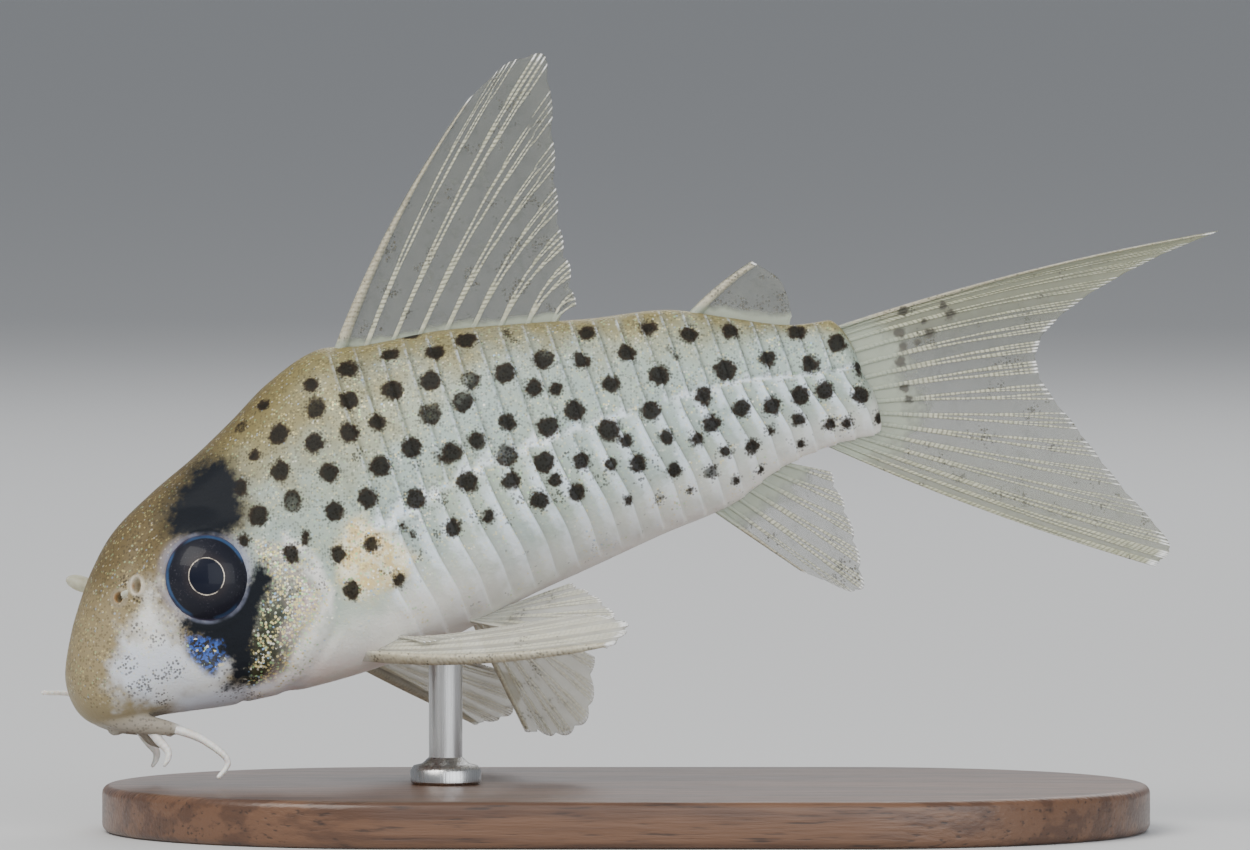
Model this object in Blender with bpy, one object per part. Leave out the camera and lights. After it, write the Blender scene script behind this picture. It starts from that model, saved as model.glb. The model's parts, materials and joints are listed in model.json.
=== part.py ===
"""A small spotted armoured catfish with a dark eye mask, life size, as a still model on a display stand.

The fish is drawn in its own frame, in millimetres: "along" runs from the snout to the tail, "side" is across the
body (the fish's right is positive) and "up" is towards the back. pose() turns the head a little to the left and the
tail to the right, tips the fish head down and sets it over the stand, in metres, with +Z up and the origin under
the middle of the base.
"""

import math

import bmesh
import bpy
from mathutils import Vector

MM = 0.001

# Pose and stand, in millimetres and degrees
PITCH = math.radians(18.3)      # head down
SNOUT_X = -29.7                 # where the fish's frame starts, before the base's middle
SNOUT_Z = 9.7                   # and its height over the floor
TURN_END = 18.0                 # where the head's turn starts, towards the snout
TURN = 0.24                     # its slope at the snout
SWING_START = 22.0              # where the tail starts to bend aside
SWING_LENGTH = 23.0
SWING = 1.2                     # how far aside the root of the tail fin stands
GAP = 0.3                       # between pieces that touch
BASE_LENGTH = 56.0
BASE_WIDTH = 32.0
BASE_HEIGHT = 2.5
BASE_BEVEL = 0.5
ROD_RADIUS = 0.9
COLLAR_RADIUS = 1.9
COLLAR_HEIGHT = 0.9
COLLAR_EDGE = 0.27              # its sloping top edge
ROD_ALONG = 19.2                # where on the belly the rod stands

# The body's sections. Each row: place along the body; the back's point (along, up); the belly's point (along, up);
# half the width; where between belly and back the body is widest; how full the section is above and below that.
SECTIONS = (
    (0.0, (-0.62, -2.0), (-0.62, -2.4), 0.15, 0.50, 1.00, 1.00),
    (0.3, (-0.52, -1.2), (-0.56, -3.0), 1.00, 0.50, 1.00, 1.00),
    (0.7, (-0.20, -0.4), (-0.30, -3.7), 1.75, 0.48, 1.00, 0.95),
    (1.2, (0.30, 0.55), (0.35, -4.35), 2.40, 0.46, 1.00, 0.90),
    (2.0, (1.00, 1.70), (1.50, -4.80), 2.95, 0.43, 1.00, 0.85),
    (3.2, (2.40, 3.55), (3.10, -4.75), 3.50, 0.40, 1.00, 0.80),
    (4.8, (4.20, 5.25), (4.90, -5.05), 4.00, 0.37, 1.00, 0.76),
    (7.0, (6.80, 6.60), (7.00, -5.45), 4.45, 0.34, 1.00, 0.74),
    (9.5, (9.50, 7.70), (9.50, -5.75), 4.90, 0.31, 1.02, 0.72),
    (12.0, (12.00, 8.90), (12.00, -5.95), 5.35, 0.27, 1.06, 0.72),
    (14.5, (14.50, 10.20), (14.50, -6.05), 5.75, 0.25, 1.10, 0.72),
    (17.5, (17.50, 11.05), (17.50, -6.00), 5.75, 0.27, 1.16, 0.74),
    (20.0, (20.00, 10.50), (20.00, -5.70), 5.50, 0.31, 1.18, 0.78),
    (24.0, (24.00, 10.00), (24.00, -5.00), 4.85, 0.36, 1.16, 0.84),
    (28.0, (28.00, 9.05), (28.00, -4.55), 4.05, 0.41, 1.12, 0.90),
    (32.0, (32.00, 8.05), (32.00, -4.10), 3.20, 0.45, 1.08, 0.94),
    (36.0, (36.00, 7.20), (36.00, -3.75), 2.40, 0.48, 1.04, 0.96),
    (39.0, (39.00, 5.75), (39.00, -2.75), 1.80, 0.50, 1.00, 0.98),
    (42.0, (42.00, 4.35), (42.00, -2.45), 1.35, 0.50, 1.00, 1.00),
    (45.6, (45.60, 3.75), (45.60, -2.75), 0.85, 0.50, 1.00, 1.00),
)
# The rear edge of the head, from the nape (0) round the gill cover to the throat (1): place along the body
HEAD_EDGE = ((0.0, 16.2), (0.25, 15.3), (0.42, 14.7), (0.5, 14.0), (0.65, 12.9), (0.85, 11.7), (1.0, 11.2))
HEAD_END = 14.5
GILL_MIDDLE = (12.4, -1.6)      # the middle of the gill cover's swelling, along and up
GILL_REACH = (3.6, 4.4)
GILL_SWELL = 0.32
# The line between the upper and the lower row of plates, as a share of the way from back to belly
PLATE_LINE = ((0.0, 0.42), (16.0, 0.42), (22.0, 0.405), (30.0, 0.42), (37.0, 0.435), (46.0, 0.45))

PLATE_START = 16.9
PLATE_COUNT = 24
PLATE_PITCH = 1.34              # length of the first plate
PLATE_SHRINK = 0.0135           # each next plate is this much shorter
PLATE_RAISE = 0.20              # height of a plate's rear edge over the next one
PLATE_STEP = 0.10               # length of the drop behind that edge
PLATE_LEAN = 0.65               # how far the lower row's edges lean back
TAIL_PLATE = 19                 # the plate that starts the tail
TAIL_END = 45.4
ROWS_ABOVE = 7                  # faces from the back to the plate line
ROWS_BELOW = 9                  # and from there to the belly
HEAD_RINGS = 17

EYE = (8.0, 1.7)
EYE_RADIUS = 2.3
EYE_DEPTH = 1.55                # the eyeball's half depth, across the head
EYE_SINK = 0.62                 # how far its middle lies under the skin
EYE_AXIS = Vector((-0.13, 1.0, 0.14))
ORBIT_RIM = 0.75                # the width of the raised skin round the eye
ORBIT_DEPTH = 1.15              # its half depth
NOSTRIL_REAR = (4.3, 2.5)
NOSTRIL_FLAP = (3.75, 2.15)
NOSTRIL_FRONT = (3.2, 1.75)
# The nostrils' rims: place; half the width, the height and the depth of the swelling
NOSTRILS = ((NOSTRIL_REAR, 0.46, 0.62, 0.36), (NOSTRIL_FRONT, 0.40, 0.44, 0.30))
PIT_DEPTH = 0.52
FLAP_RADII = (0.17, 0.36, 0.75)

GRID_SIZE = 1.0


def clear_scene():
    for thing in list(bpy.data.objects):
        bpy.data.objects.remove(thing, do_unlink=True)


def smoothstep(low, high, value):
    share = min(max((value - low) / (high - low), 0.0), 1.0)
    return share * share * (3.0 - 2.0 * share)


def curve(points, at):
    """Reads a smooth curve through (place, value) pairs; a value is a number or a tuple of numbers."""
    last = len(points) - 2
    i = 0
    while i < last and at > points[i + 1][0]:
        i += 1
    (t0, p0), (t1, p1) = points[i], points[i + 1]
    before, after = points[max(i - 1, 0)], points[min(i + 2, last + 1)]
    span = t1 - t0
    share = min(max((at - t0) / span, 0.0), 1.0)

    def one(a, b, c, d):
        start = (c - a) / (t1 - before[0]) * span if i else c - b
        end = (d - b) / (after[0] - t0) * span if i < last else c - b
        s2, s3 = share * share, share ** 3
        return (2 * s3 - 3 * s2 + 1) * b + (s3 - 2 * s2 + share) * start + (3 * s2 - 2 * s3) * c + (s3 - s2) * end

    if isinstance(p0, tuple):
        return tuple(one(a, b, c, d) for a, b, c, d in zip(before[1], p0, p1, after[1]))
    return one(before[1], p0, p1, after[1])


def evenly(points, share):
    """Reads a smooth curve through points at even places, from 0 at the first to 1 at the last."""
    return Vector(curve([(i, tuple(p)) for i, p in enumerate(points)], share * (len(points) - 1)))


def spine(along):
    """How far aside the middle of the body stands at a place along it, and its slope there."""
    if along < TURN_END:
        left = TURN_END - along
        return -TURN * left * left / (2 * TURN_END), TURN * left / TURN_END
    bend = max(along - SWING_START, 0.0) / SWING_LENGTH
    return SWING * bend * bend, 2 * SWING * bend / SWING_LENGTH


def pose(point):
    """Takes a point of the fish's frame, in millimetres, to its place over the stand, in metres."""
    along, side, up = point
    aside, slope = spine(along)
    tilt = math.atan(slope)
    along -= side * math.sin(tilt)
    side = aside + side * math.cos(tilt)
    x = SNOUT_X + along * math.cos(PITCH) - up * math.sin(PITCH)
    z = SNOUT_Z + along * math.sin(PITCH) + up * math.cos(PITCH)
    return Vector((x, side, z)) * MM


FLAT_SECTIONS = [(row[0], row[1] + row[2] + row[3:]) for row in SECTIONS]


def skin(at, angle):
    """The smooth body's point at a place along it and an angle, from the back (0) by the right side to the belly."""
    ta, tu, ba, bu, wide, share, above, below = curve(FLAT_SECTIONS, at)
    mid = Vector((ba + (ta - ba) * share, bu + (tu - bu) * share))
    c, s = math.cos(angle), math.sin(angle)
    end, full = (Vector((ta, tu)), above) if c >= 0 else (Vector((ba, bu)), below)
    spot = mid + (end - mid) * abs(c) ** full
    return Vector((spot.x, math.copysign(wide * abs(s) ** full, s), spot.y))


def skin_normal(at, angle):
    step = 0.02
    a = skin(at + step, angle) - skin(at - step, angle)
    b = skin(at, angle + step) - skin(at, angle - step)
    return a.cross(b).normalized()


def on_side(along, up):
    """The right side's point whose like on the left is seen at this place along and height, with its normal."""
    at = along
    for _ in range(12):
        low, high = 0.02, math.pi - 0.02
        for _ in range(24):
            angle = (low + high) / 2
            if skin(at, angle).z > up:
                low = angle
            else:
                high = angle
        spot = skin(at, angle)
        at += along - (spot.x + spot.y * math.sin(math.atan(spine(spot.x)[1])))
    return skin(at, angle), skin_normal(at, angle)


def ring_angles(at):
    """Angles round a ring, from the back down the right side and up the left, with a point on the plate line."""
    split = curve(PLATE_LINE, at) * math.pi
    down = [split * i / ROWS_ABOVE for i in range(ROWS_ABOVE)]
    down += [split + (math.pi - split) * i / ROWS_BELOW for i in range(ROWS_BELOW + 1)]
    return down + [-a for a in reversed(down[1:-1])]


def plate_edges():
    edges = [PLATE_START]
    for i in range(PLATE_COUNT):
        edges.append(edges[-1] + PLATE_PITCH - PLATE_SHRINK * i)
    return edges


def lean(at, angle):
    split = curve(PLATE_LINE, at)
    return PLATE_LEAN * smoothstep(split, split + 0.28, abs(angle) / math.pi)


def plate_lift(at, angle, share):
    """How far a plate stands up at an angle; share is 0 at its front edge and 1 at its rear edge."""
    turn = abs(angle) / math.pi
    split = curve(PLATE_LINE, at)
    belly = 0.72 + 0.14 * smoothstep(30.0, 38.0, at)
    cover = smoothstep(0.0, 0.08, turn) * (1.0 - smoothstep(belly, belly + 0.12, turn))
    groove = 1.0 - 0.65 * (1.0 - smoothstep(0.0, 0.04, abs(turn - split)))
    return PLATE_RAISE * share * cover * groove


def head_edge(angle, shift=0.0):
    return curve(HEAD_EDGE, abs(angle) / math.pi) + shift


def gill_swell(point):
    """How far the gill cover stands out from the smooth head at a point."""
    along, up = (point.x - GILL_MIDDLE[0]) / GILL_REACH[0], (point.z - GILL_MIDDLE[1]) / GILL_REACH[1]
    return GILL_SWELL * (1.0 - smoothstep(0.35, 1.0, math.hypot(along, up)))


def head_ring(share):
    """A ring of the head: share is 0 at the snout and 1 at the rear edge of the gill cover."""
    nominal = HEAD_END * share ** 1.25
    points = []
    for angle in ring_angles(nominal):
        at = nominal + (head_edge(angle) - HEAD_END) * smoothstep(0.35, 1.0, share)
        spot = skin(at, angle)
        points.append(spot + skin_normal(at, angle) * gill_swell(spot) if share > 0.4 else spot)
    return points


def plate_ring(edge, share):
    """A ring on a plate's front edge (share 0) or rear edge (share 1)."""
    points = []
    for angle in ring_angles(edge):
        at = edge + lean(edge, angle)
        points.append(skin(at, angle) + skin_normal(at, angle) * plate_lift(edge, angle, share))
    return points


def shoulder_ring(share):
    """A ring between the rear edge of the head (0) and the first plate (1)."""
    points = []
    for angle in ring_angles(PLATE_START):
        front = head_edge(angle, 1.2 * GAP)
        rear = PLATE_START + lean(PLATE_START, angle)
        points.append(skin(front + (rear - front) * share, angle))
    return points


def trunk_rings():
    edges = plate_edges()
    rings = [shoulder_ring(share) for share in (0.0, 0.35, 0.7)]
    for front, rear in zip(edges[:TAIL_PLATE], edges[1:]):
        rings += [plate_ring(front, 0.0), plate_ring(rear - PLATE_STEP, 1.0)]
    rings.append(plate_ring(edges[TAIL_PLATE] - 0.02, 0.0))
    return rings


def tail_rings():
    edges = plate_edges()[TAIL_PLATE:]
    rings = []
    for i, (front, rear) in enumerate(zip(edges, edges[1:])):
        rear = min(rear, TAIL_END)
        rings += [plate_ring(front + (GAP if i == 0 else 0.0), 0.0), plate_ring(rear - PLATE_STEP, 1.0)]
        if rear >= TAIL_END:
            break
    rings.append([Vector((TAIL_END + 0.12, p.y * 0.7, p.z * 0.97 + 0.02)) for p in plate_ring(TAIL_END - 0.65, 0.0)])
    return rings


def face_outwards(bm):
    bm.normal_update()
    bmesh.ops.recalc_face_normals(bm, faces=bm.faces)


def finish(name, bm, material):
    """Makes the node's object from a closed mesh that is already in its place, in metres."""
    face_outwards(bm)
    mesh = bpy.data.meshes.new(name)
    bm.to_mesh(mesh)
    bm.free()
    mesh.shade_smooth()
    mesh.set_sharp_from_angle(angle=math.radians(35))
    thing = bpy.data.objects.new(name, mesh)
    bpy.context.scene.collection.objects.link(thing)
    mesh.materials.append(material)
    return thing


def loft(bm, rings):
    """Skins a row of rings, each with as many points, and closes both ends with a fan."""
    loop = bmesh.ops.create_circle(bm, cap_ends=False, segments=len(rings[0]), radius=1.0)["verts"]
    for vert, point in zip(loop, rings[0]):
        vert.co = point
    ends = [list(loop)]
    for ring in rings[1:]:
        edges = [bm.edges.get((a, b)) for a, b in zip(loop, loop[1:] + loop[:1])]
        made = set(bmesh.ops.extrude_edge_only(bm, edges=edges)["geom"])
        loop = [next(e.other_vert(v) for e in v.link_edges if e.other_vert(v) in made) for v in loop]
        for vert, point in zip(loop, ring):
            vert.co = point
    ends.append(list(loop))
    for end in ends:
        edges = [bm.edges.get((a, b)) for a, b in zip(end, end[1:] + end[:1])]
        caps = [g for g in bmesh.ops.contextual_create(bm, geom=edges)["faces"]]
        bmesh.ops.poke(bm, faces=caps)
    bmesh.ops.triangulate(bm, faces=bm.faces, quad_method="SHORT_EDGE")


def posed(rings):
    return [[pose(point) for point in ring] for ring in rings]


def body_piece(name, rings, material):
    bm = bmesh.new()
    loft(bm, posed(rings))
    return finish(name, bm, material)


def tube_rings(points, radii, sides=8, squash=1.0):
    """Rings round a line of points, in the fish's frame; squash flattens them across the line's own side."""
    rings = []
    across = Vector((0, 0, 1))
    for i, (point, radius) in enumerate(zip(points, radii)):
        ahead = (points[min(i + 1, len(points) - 1)] - points[max(i - 1, 0)]).normalized()
        across = (across - ahead * across.dot(ahead)).normalized()
        third = ahead.cross(across)
        turns = [2 * math.pi * k / sides for k in range(sides)]
        rings.append([point + across * radius * math.cos(a) + third * radius * squash * math.sin(a) for a in turns])
    return rings


def tube(name, route, root_radius, tip_radius, material, steps=11):
    points = [evenly(route, i / (steps - 1)) for i in range(steps)]
    radii = [root_radius + (tip_radius - root_radius) * (i / (steps - 1)) ** 0.8 for i in range(steps)]
    bm = bmesh.new()
    loft(bm, posed(tube_rings(points, radii)))
    return finish(name, bm, material)


def fin(name, roots, tips, rays, thick, material, bow=(0.0, 0.0), normal=Vector((0, 1, 0)), rows=8, notch=0.03):
    """A fin as a thin closed sheet, with each ray a ridge in its own surface.

    roots and tips are smooth curves from the first ray to the last; thick holds the half thickness of the web at
    the root and the tip, of a ray at both, and of the leading ray at both; bow is how far the first and the last
    ray curve forward of the straight.
    """
    columns = 2 * (rays - 1)
    across = normal.normalized()

    def place(u, v):
        root, tip = evenly(roots, u), evenly(tips, u)
        reach = tip - root
        ray = u * (rays - 1)
        web = abs(ray - round(ray)) * 2.0
        v = v * (1.0 - notch * web)
        curved = (bow[0] + (bow[1] - bow[0]) * u) * 4.0 * v * (1.0 - v)
        return root + reach * v + reach.cross(across).normalized() * curved

    def half_thickness(u, v):
        ray = u * (rays - 1)
        ridge = 1.0 - abs(ray - round(ray)) * 2.0
        web = thick[0] + (thick[1] - thick[0]) * v
        rib = thick[2] + (thick[3] - thick[2]) * v
        if ray < 0.5:
            rib = thick[4] + (thick[5] - thick[4]) * v
        return web + (rib - web) * ridge

    bm = bmesh.new()
    bmesh.ops.create_grid(bm, x_segments=columns, y_segments=rows, size=GRID_SIZE)
    bmesh.ops.triangulate(bm, faces=bm.faces, quad_method="FIXED")
    bmesh.ops.solidify(bm, geom=bm.faces, thickness=1.0)
    middle = sum(v.co.z for v in bm.verts) / len(bm.verts)
    for vert in bm.verts:
        u, v = (vert.co.x + GRID_SIZE) / (2 * GRID_SIZE), (vert.co.y + GRID_SIZE) / (2 * GRID_SIZE)
        face_side = 1.0 if vert.co.z > middle else -1.0
        vert.co = pose(place(u, v) + across * half_thickness(u, v) * face_side)
    bmesh.ops.triangulate(bm, faces=bm.faces)
    return finish(name, bm, material)


def new_ball(middle, radii, axes, segments=22, rings=12):
    """An ellipsoid in the fish's frame, with its three radii along three axes."""
    bm = bmesh.new()
    bmesh.ops.create_uvsphere(bm, u_segments=segments, v_segments=rings, radius=1.0)
    for vert in bm.verts:
        x, y, z = vert.co
        vert.co = pose(middle + axes[0] * x * radii[0] + axes[1] * y * radii[1] + axes[2] * z * radii[2])
    return bm


def frame_round(axis):
    """Two axes square to this one, then the axis itself."""
    third = axis.normalized()
    first = Vector((0, 0, 1)).cross(third).normalized()
    return first, third.cross(first), third


def mirror_side(point, side):
    return Vector((point.x, point.y * side, point.z))


def eye_middle(side):
    spot, _ = on_side(*EYE)
    axis = mirror_side(EYE_AXIS.normalized(), side)
    return mirror_side(spot, side) - axis * EYE_SINK, axis


def eyeball(name, side, material):
    middle, axis = eye_middle(side)
    return finish(name, new_ball(middle, (EYE_RADIUS, EYE_RADIUS, EYE_DEPTH), frame_round(axis)), material)


def boolean(thing, pieces, operation):
    """Joins closed pieces to a node, or cuts them out of it, in one step, and removes them."""
    group = bpy.data.collections.new("pieces")
    bpy.context.scene.collection.children.link(group)
    for bm in pieces:
        face_outwards(bm)
        mesh = bpy.data.meshes.new("piece")
        bm.to_mesh(mesh)
        bm.free()
        group.objects.link(bpy.data.objects.new("piece", mesh))
    step = thing.modifiers.new("step", "BOOLEAN")
    step.operation = operation
    step.operand_type = "COLLECTION"
    step.collection = group
    step.solver = "EXACT"
    bpy.context.view_layer.update()
    made = bpy.data.meshes.new_from_object(thing.evaluated_get(bpy.context.evaluated_depsgraph_get()))
    thing.modifiers.remove(step)
    thing.data = made
    for piece in list(group.objects):
        bpy.data.objects.remove(piece, do_unlink=True)
    bpy.data.collections.remove(group)


def keep_largest(thing):
    """Keeps the node's largest closed surface."""
    bm = bmesh.new()
    bm.from_mesh(thing.data)
    left, shells = set(bm.verts), []
    while left:
        shell, edge = set(), [left.pop()]
        while edge:
            vert = edge.pop()
            shell.add(vert)
            for link in vert.link_edges:
                other = link.other_vert(vert)
                if other in left:
                    left.discard(other)
                    edge.append(other)
        shells.append(shell)
    largest = max(shells, key=len)
    bmesh.ops.delete(bm, geom=[v for v in bm.verts if v not in largest], context="VERTS")
    bmesh.ops.triangulate(bm, faces=bm.faces)
    bm.to_mesh(thing.data)
    bm.free()


def swept(points, radii, sides=8, squash=1.0):
    bm = bmesh.new()
    loft(bm, posed(tube_rings(points, radii, sides, squash)))
    return bm


# The mouth, under the snout
LIP_ARC = 1.30                  # half the width of the mouth
LIP_RADIUS = 0.38
LIP_MIDDLE = (2.35, -4.85)      # between the mouth's corners, along and up
LIP_REACH = 1.35                # how far the upper lip comes forward of them
LOBE_ROUTE = (Vector((0.9, 1.2, -4.45)), Vector((1.9, 1.75, -4.95)), Vector((3.0, 2.0, -5.3)),
              Vector((3.65, 2.1, -5.6)))
LOBE_RADIUS = 0.52
LOWER_MIDDLE = (2.95, -5.40)    # the lower lip, as the upper one's
LOWER_ARC = 0.85
LOWER_REACH = 0.70
LOWER_RADIUS = 0.28
LONG_START = LOBE_ROUTE[-1] + Vector((0.42, 0.04, -0.22))
SHORT_START = LOBE_ROUTE[2] + Vector((-0.15, -0.10, -0.80))
# The short middle feelers of the lower lip
CHIN_ROUTE = (Vector((2.45, 0.42, -5.50)), Vector((2.6, 0.55, -6.0)), Vector((3.05, 0.6, -6.4)))

# Half thicknesses of a fin: the web at root and tip, a ray at root and tip, the leading ray at root and tip
FIN_THICK = (0.26, 0.13, 0.38, 0.18, 0.46, 0.22)
ADIPOSE_THICK = (0.26, 0.14, 0.26, 0.14, 0.46, 0.22)


def lips():
    """The upper lip's roll and the fleshy lobe at each corner of the mouth."""
    arc = [math.pi * (i / 10 - 0.5) for i in range(11)]
    upper = [Vector((LIP_MIDDLE[0] - LIP_REACH * math.cos(a), LIP_ARC * math.sin(a), LIP_MIDDLE[1])) for a in arc]
    pieces = [swept(upper, [LIP_RADIUS] * 11)]
    for side in (1, -1):
        steps = [i / 11 for i in range(12)]
        radii = [LOBE_RADIUS * math.sin(math.pi * (0.14 + 0.70 * s)) ** 0.6 for s in steps]
        pieces.append(swept([mirror_side(evenly(LOBE_ROUTE, s), side) for s in steps], radii, 10, 0.8))
    return pieces


def lower_lip(material):
    """The lower lip, behind the mouth's line, with its short middle pair of feelers."""
    arc = [math.pi * (i / 8 - 0.5) for i in range(9)]
    roll = [Vector((LOWER_MIDDLE[0] - LOWER_REACH * math.cos(a), LOWER_ARC * math.sin(a), LOWER_MIDDLE[1]))
            for a in arc]
    ends = LOWER_RADIUS * 0.65
    thing = finish("lower_lip", swept(roll, [ends] + [LOWER_RADIUS] * 7 + [ends]), material)
    pieces = []
    for side in (1, -1):
        points = [mirror_side(evenly(CHIN_ROUTE, i / 5), side) for i in range(6)]
        pieces.append(swept(points, [0.24 - 0.025 * i for i in range(6)]))
    boolean(thing, pieces, "UNION")
    keep_largest(thing)
    return thing


def nostril_pieces():
    """Raised rims round both pairs of nostrils, the flap between them, and the pits of all four."""
    raised, pits = [], []
    for side in (1, -1):
        for place, wide, tall, height in NOSTRILS:
            spot, normal = (mirror_side(v, side) for v in on_side(*place))
            axes = frame_round(normal)
            raised.append(new_ball(spot, (wide, tall, height), axes, 14, 10))
            pit = (wide * 0.62, tall * 0.66, PIT_DEPTH)
            pits.append(new_ball(spot + normal * (height + 0.08), pit, axes, 12, 8))
        spot, normal = (mirror_side(v, side) for v in on_side(*NOSTRIL_FLAP))
        lean_out = (normal + Vector((-0.45, 0.0, 0.25))).normalized()
        raised.append(new_ball(spot + lean_out * 0.15, FLAP_RADII, frame_round(lean_out), 10, 8))
    return raised, pits


def head(material):
    rings = [head_ring(i / HEAD_RINGS) for i in range(HEAD_RINGS + 1)]
    thing = body_piece("head", rings, material)
    collars, cuts = nostril_pieces()
    orbits = []
    for side in (1, -1):
        middle, axis = eye_middle(side)
        rim, hole = EYE_RADIUS + ORBIT_RIM, EYE_RADIUS + GAP
        orbits.append(new_ball(middle, (rim, rim, ORBIT_DEPTH), frame_round(axis), 24, 10))
        cuts.append(new_ball(middle, (hole, hole, EYE_DEPTH + GAP), frame_round(axis), 24, 14))
    boolean(thing, lips() + collars + orbits, "UNION")
    boolean(thing, cuts, "DIFFERENCE")
    keep_largest(thing)
    return thing


def stadium(length, width, height, arc=14):
    """A ring with round ends, seen from above."""
    radius, straight = width / 2, (length - width) / 2
    points = []
    for end, start in ((1, -0.5), (-1, 0.5)):
        for i in range(arc + 1):
            a = math.pi * (start + i / arc)
            points.append(Vector((end * straight + radius * math.cos(a), radius * math.sin(a), height)) * MM)
    return points


def stand(wood, steel):
    bm = bmesh.new()
    inset = 2 * BASE_BEVEL
    loft(bm, [
        stadium(BASE_LENGTH - inset * 0.4, BASE_WIDTH - inset * 0.4, 0.0),
        stadium(BASE_LENGTH, BASE_WIDTH, BASE_BEVEL * 0.4),
        stadium(BASE_LENGTH, BASE_WIDTH, BASE_HEIGHT - BASE_BEVEL),
        stadium(BASE_LENGTH - inset * 0.3, BASE_WIDTH - inset * 0.3, BASE_HEIGHT - BASE_BEVEL * 0.3),
        stadium(BASE_LENGTH - inset, BASE_WIDTH - inset, BASE_HEIGHT),
    ])
    finish("stand_base", bm, wood)

    belly = pose(skin(ROD_ALONG, math.pi)) / MM
    ahead = pose(skin(ROD_ALONG + 0.5, math.pi)) / MM - pose(skin(ROD_ALONG - 0.5, math.pi)) / MM
    slope = ahead.z / ahead.x
    foot = BASE_HEIGHT + GAP
    top = foot + COLLAR_HEIGHT
    profile = ((COLLAR_RADIUS, foot), (COLLAR_RADIUS, top - COLLAR_EDGE), (COLLAR_RADIUS - COLLAR_EDGE, top),
               (ROD_RADIUS, top), (ROD_RADIUS, None))
    rings = []
    for radius, height in profile:
        ring = []
        for i in range(16):
            a = 2 * math.pi * i / 16
            x, y = belly.x + radius * math.cos(a), radius * math.sin(a)
            z = height if height is not None else belly.z - 1.25 * GAP + slope * (x - belly.x)
            ring.append(Vector((x, y, z)) * MM)
        rings.append(ring)
    bm = bmesh.new()
    loft(bm, rings)
    finish("stand_rod", bm, steel)


def back_line(start, end, lift, count=7):
    """Points along the back, this far over it."""
    return [skin(start + (end - start) * i / (count - 1), 0.0) + Vector((0, 0, lift)) for i in range(count)]


def belly_line(start, end, drop, count=5):
    return [skin(start + (end - start) * i / (count - 1), math.pi) - Vector((0, 0, drop)) for i in range(count)]


def median(*points):
    return [Vector((along, 0.0, up)) for along, up in points]


def fins(material):
    fin("dorsal_fin", back_line(18.4, 29.8, GAP + 0.05),
        median((29.6, 21.3), (34.0, 22.7), (33.2, 18.3), (32.2, 14.4), (31.9, 11.4), (31.4, 8.9)),
        9, FIN_THICK, material, bow=(0.5, 0.3), rows=9)
    fin("adipose_fin", back_line(37.1, 41.7, GAP + 0.05),
        median((41.2, 8.1), (42.1, 7.0), (42.3, 5.9), (42.2, 4.9)), 4, ADIPOSE_THICK,
        material, bow=(0.15, 0.1), rows=5)
    fin("anal_fin", belly_line(34.9, 39.1, GAP + 0.05),
        median((38.6, -8.5), (41.0, -10.4), (41.6, -8.6), (41.75, -6.2), (41.6, -4.0)),
        7, FIN_THICK, material, rows=7)
    fin("caudal_fin", median((44.5, 4.3), (45.9, 3.2), (45.9, 0.5), (45.85, -2.0), (44.6, -3.35), (42.9, -3.05)),
        median((65.1, 1.8), (61.4, 1.5), (57.3, 0.7), (54.5, -0.6), (53.8, -2.6), (54.9, -6.0), (56.1, -9.4),
               (57.6, -13.2), (56.6, -14.1)),
        16, FIN_THICK, material, rows=9, bow=(0.40, -0.35))
    roots = [Vector((14.75, 5.25, -5.35)), Vector((15.4, 5.4, -5.15)), Vector((16.2, 5.5, -5.0))]
    fin("pectoral_fin_left", [mirror_side(p, -1) for p in roots],
        [Vector((27.6, -8.8, -8.3)), Vector((28.6, -7.9, -7.6)), Vector((26.4, -6.8, -6.6)),
         Vector((22.2, -6.0, -5.9)), Vector((18.4, -5.8, -5.3))],
        9, FIN_THICK, material, normal=Vector((0.25, 0.45, -1.0)), rows=8, bow=(-0.9, 0.2))
    fin("pectoral_fin_right", roots,
        [Vector((19.0, 14.4, -11.2)), Vector((21.0, 13.2, -11.3)), Vector((22.0, 10.6, -9.9)),
         Vector((20.6, 8.2, -8.1)), Vector((18.6, 6.6, -6.6))],
        9, FIN_THICK, material, normal=Vector((-0.55, 0.5, -1.0)), rows=8, bow=(0.5, 0.0))
    roots = [Vector((20.9, 2.8, -5.55)), Vector((21.6, 2.15, -5.6)), Vector((22.2, 1.5, -5.55))]
    fin("pelvic_fin_left", [mirror_side(p, -1) for p in roots],
        [Vector((27.3, -4.6, -8.6)), Vector((28.2, -3.8, -7.4)), Vector((27.5, -3.0, -5.9)),
         Vector((26.6, -2.2, -5.0))],
        6, FIN_THICK, material, normal=Vector((0.3, 1.0, -0.5)), rows=7)
    fin("pelvic_fin_right", roots,
        [Vector((21.7, 5.6, -12.2)), Vector((23.4, 5.2, -12.9)), Vector((25.3, 4.2, -12.2)),
         Vector((26.4, 3.0, -9.6))],
        6, FIN_THICK, material, normal=Vector((0.2, 1.0, 0.5)), rows=7)


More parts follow.
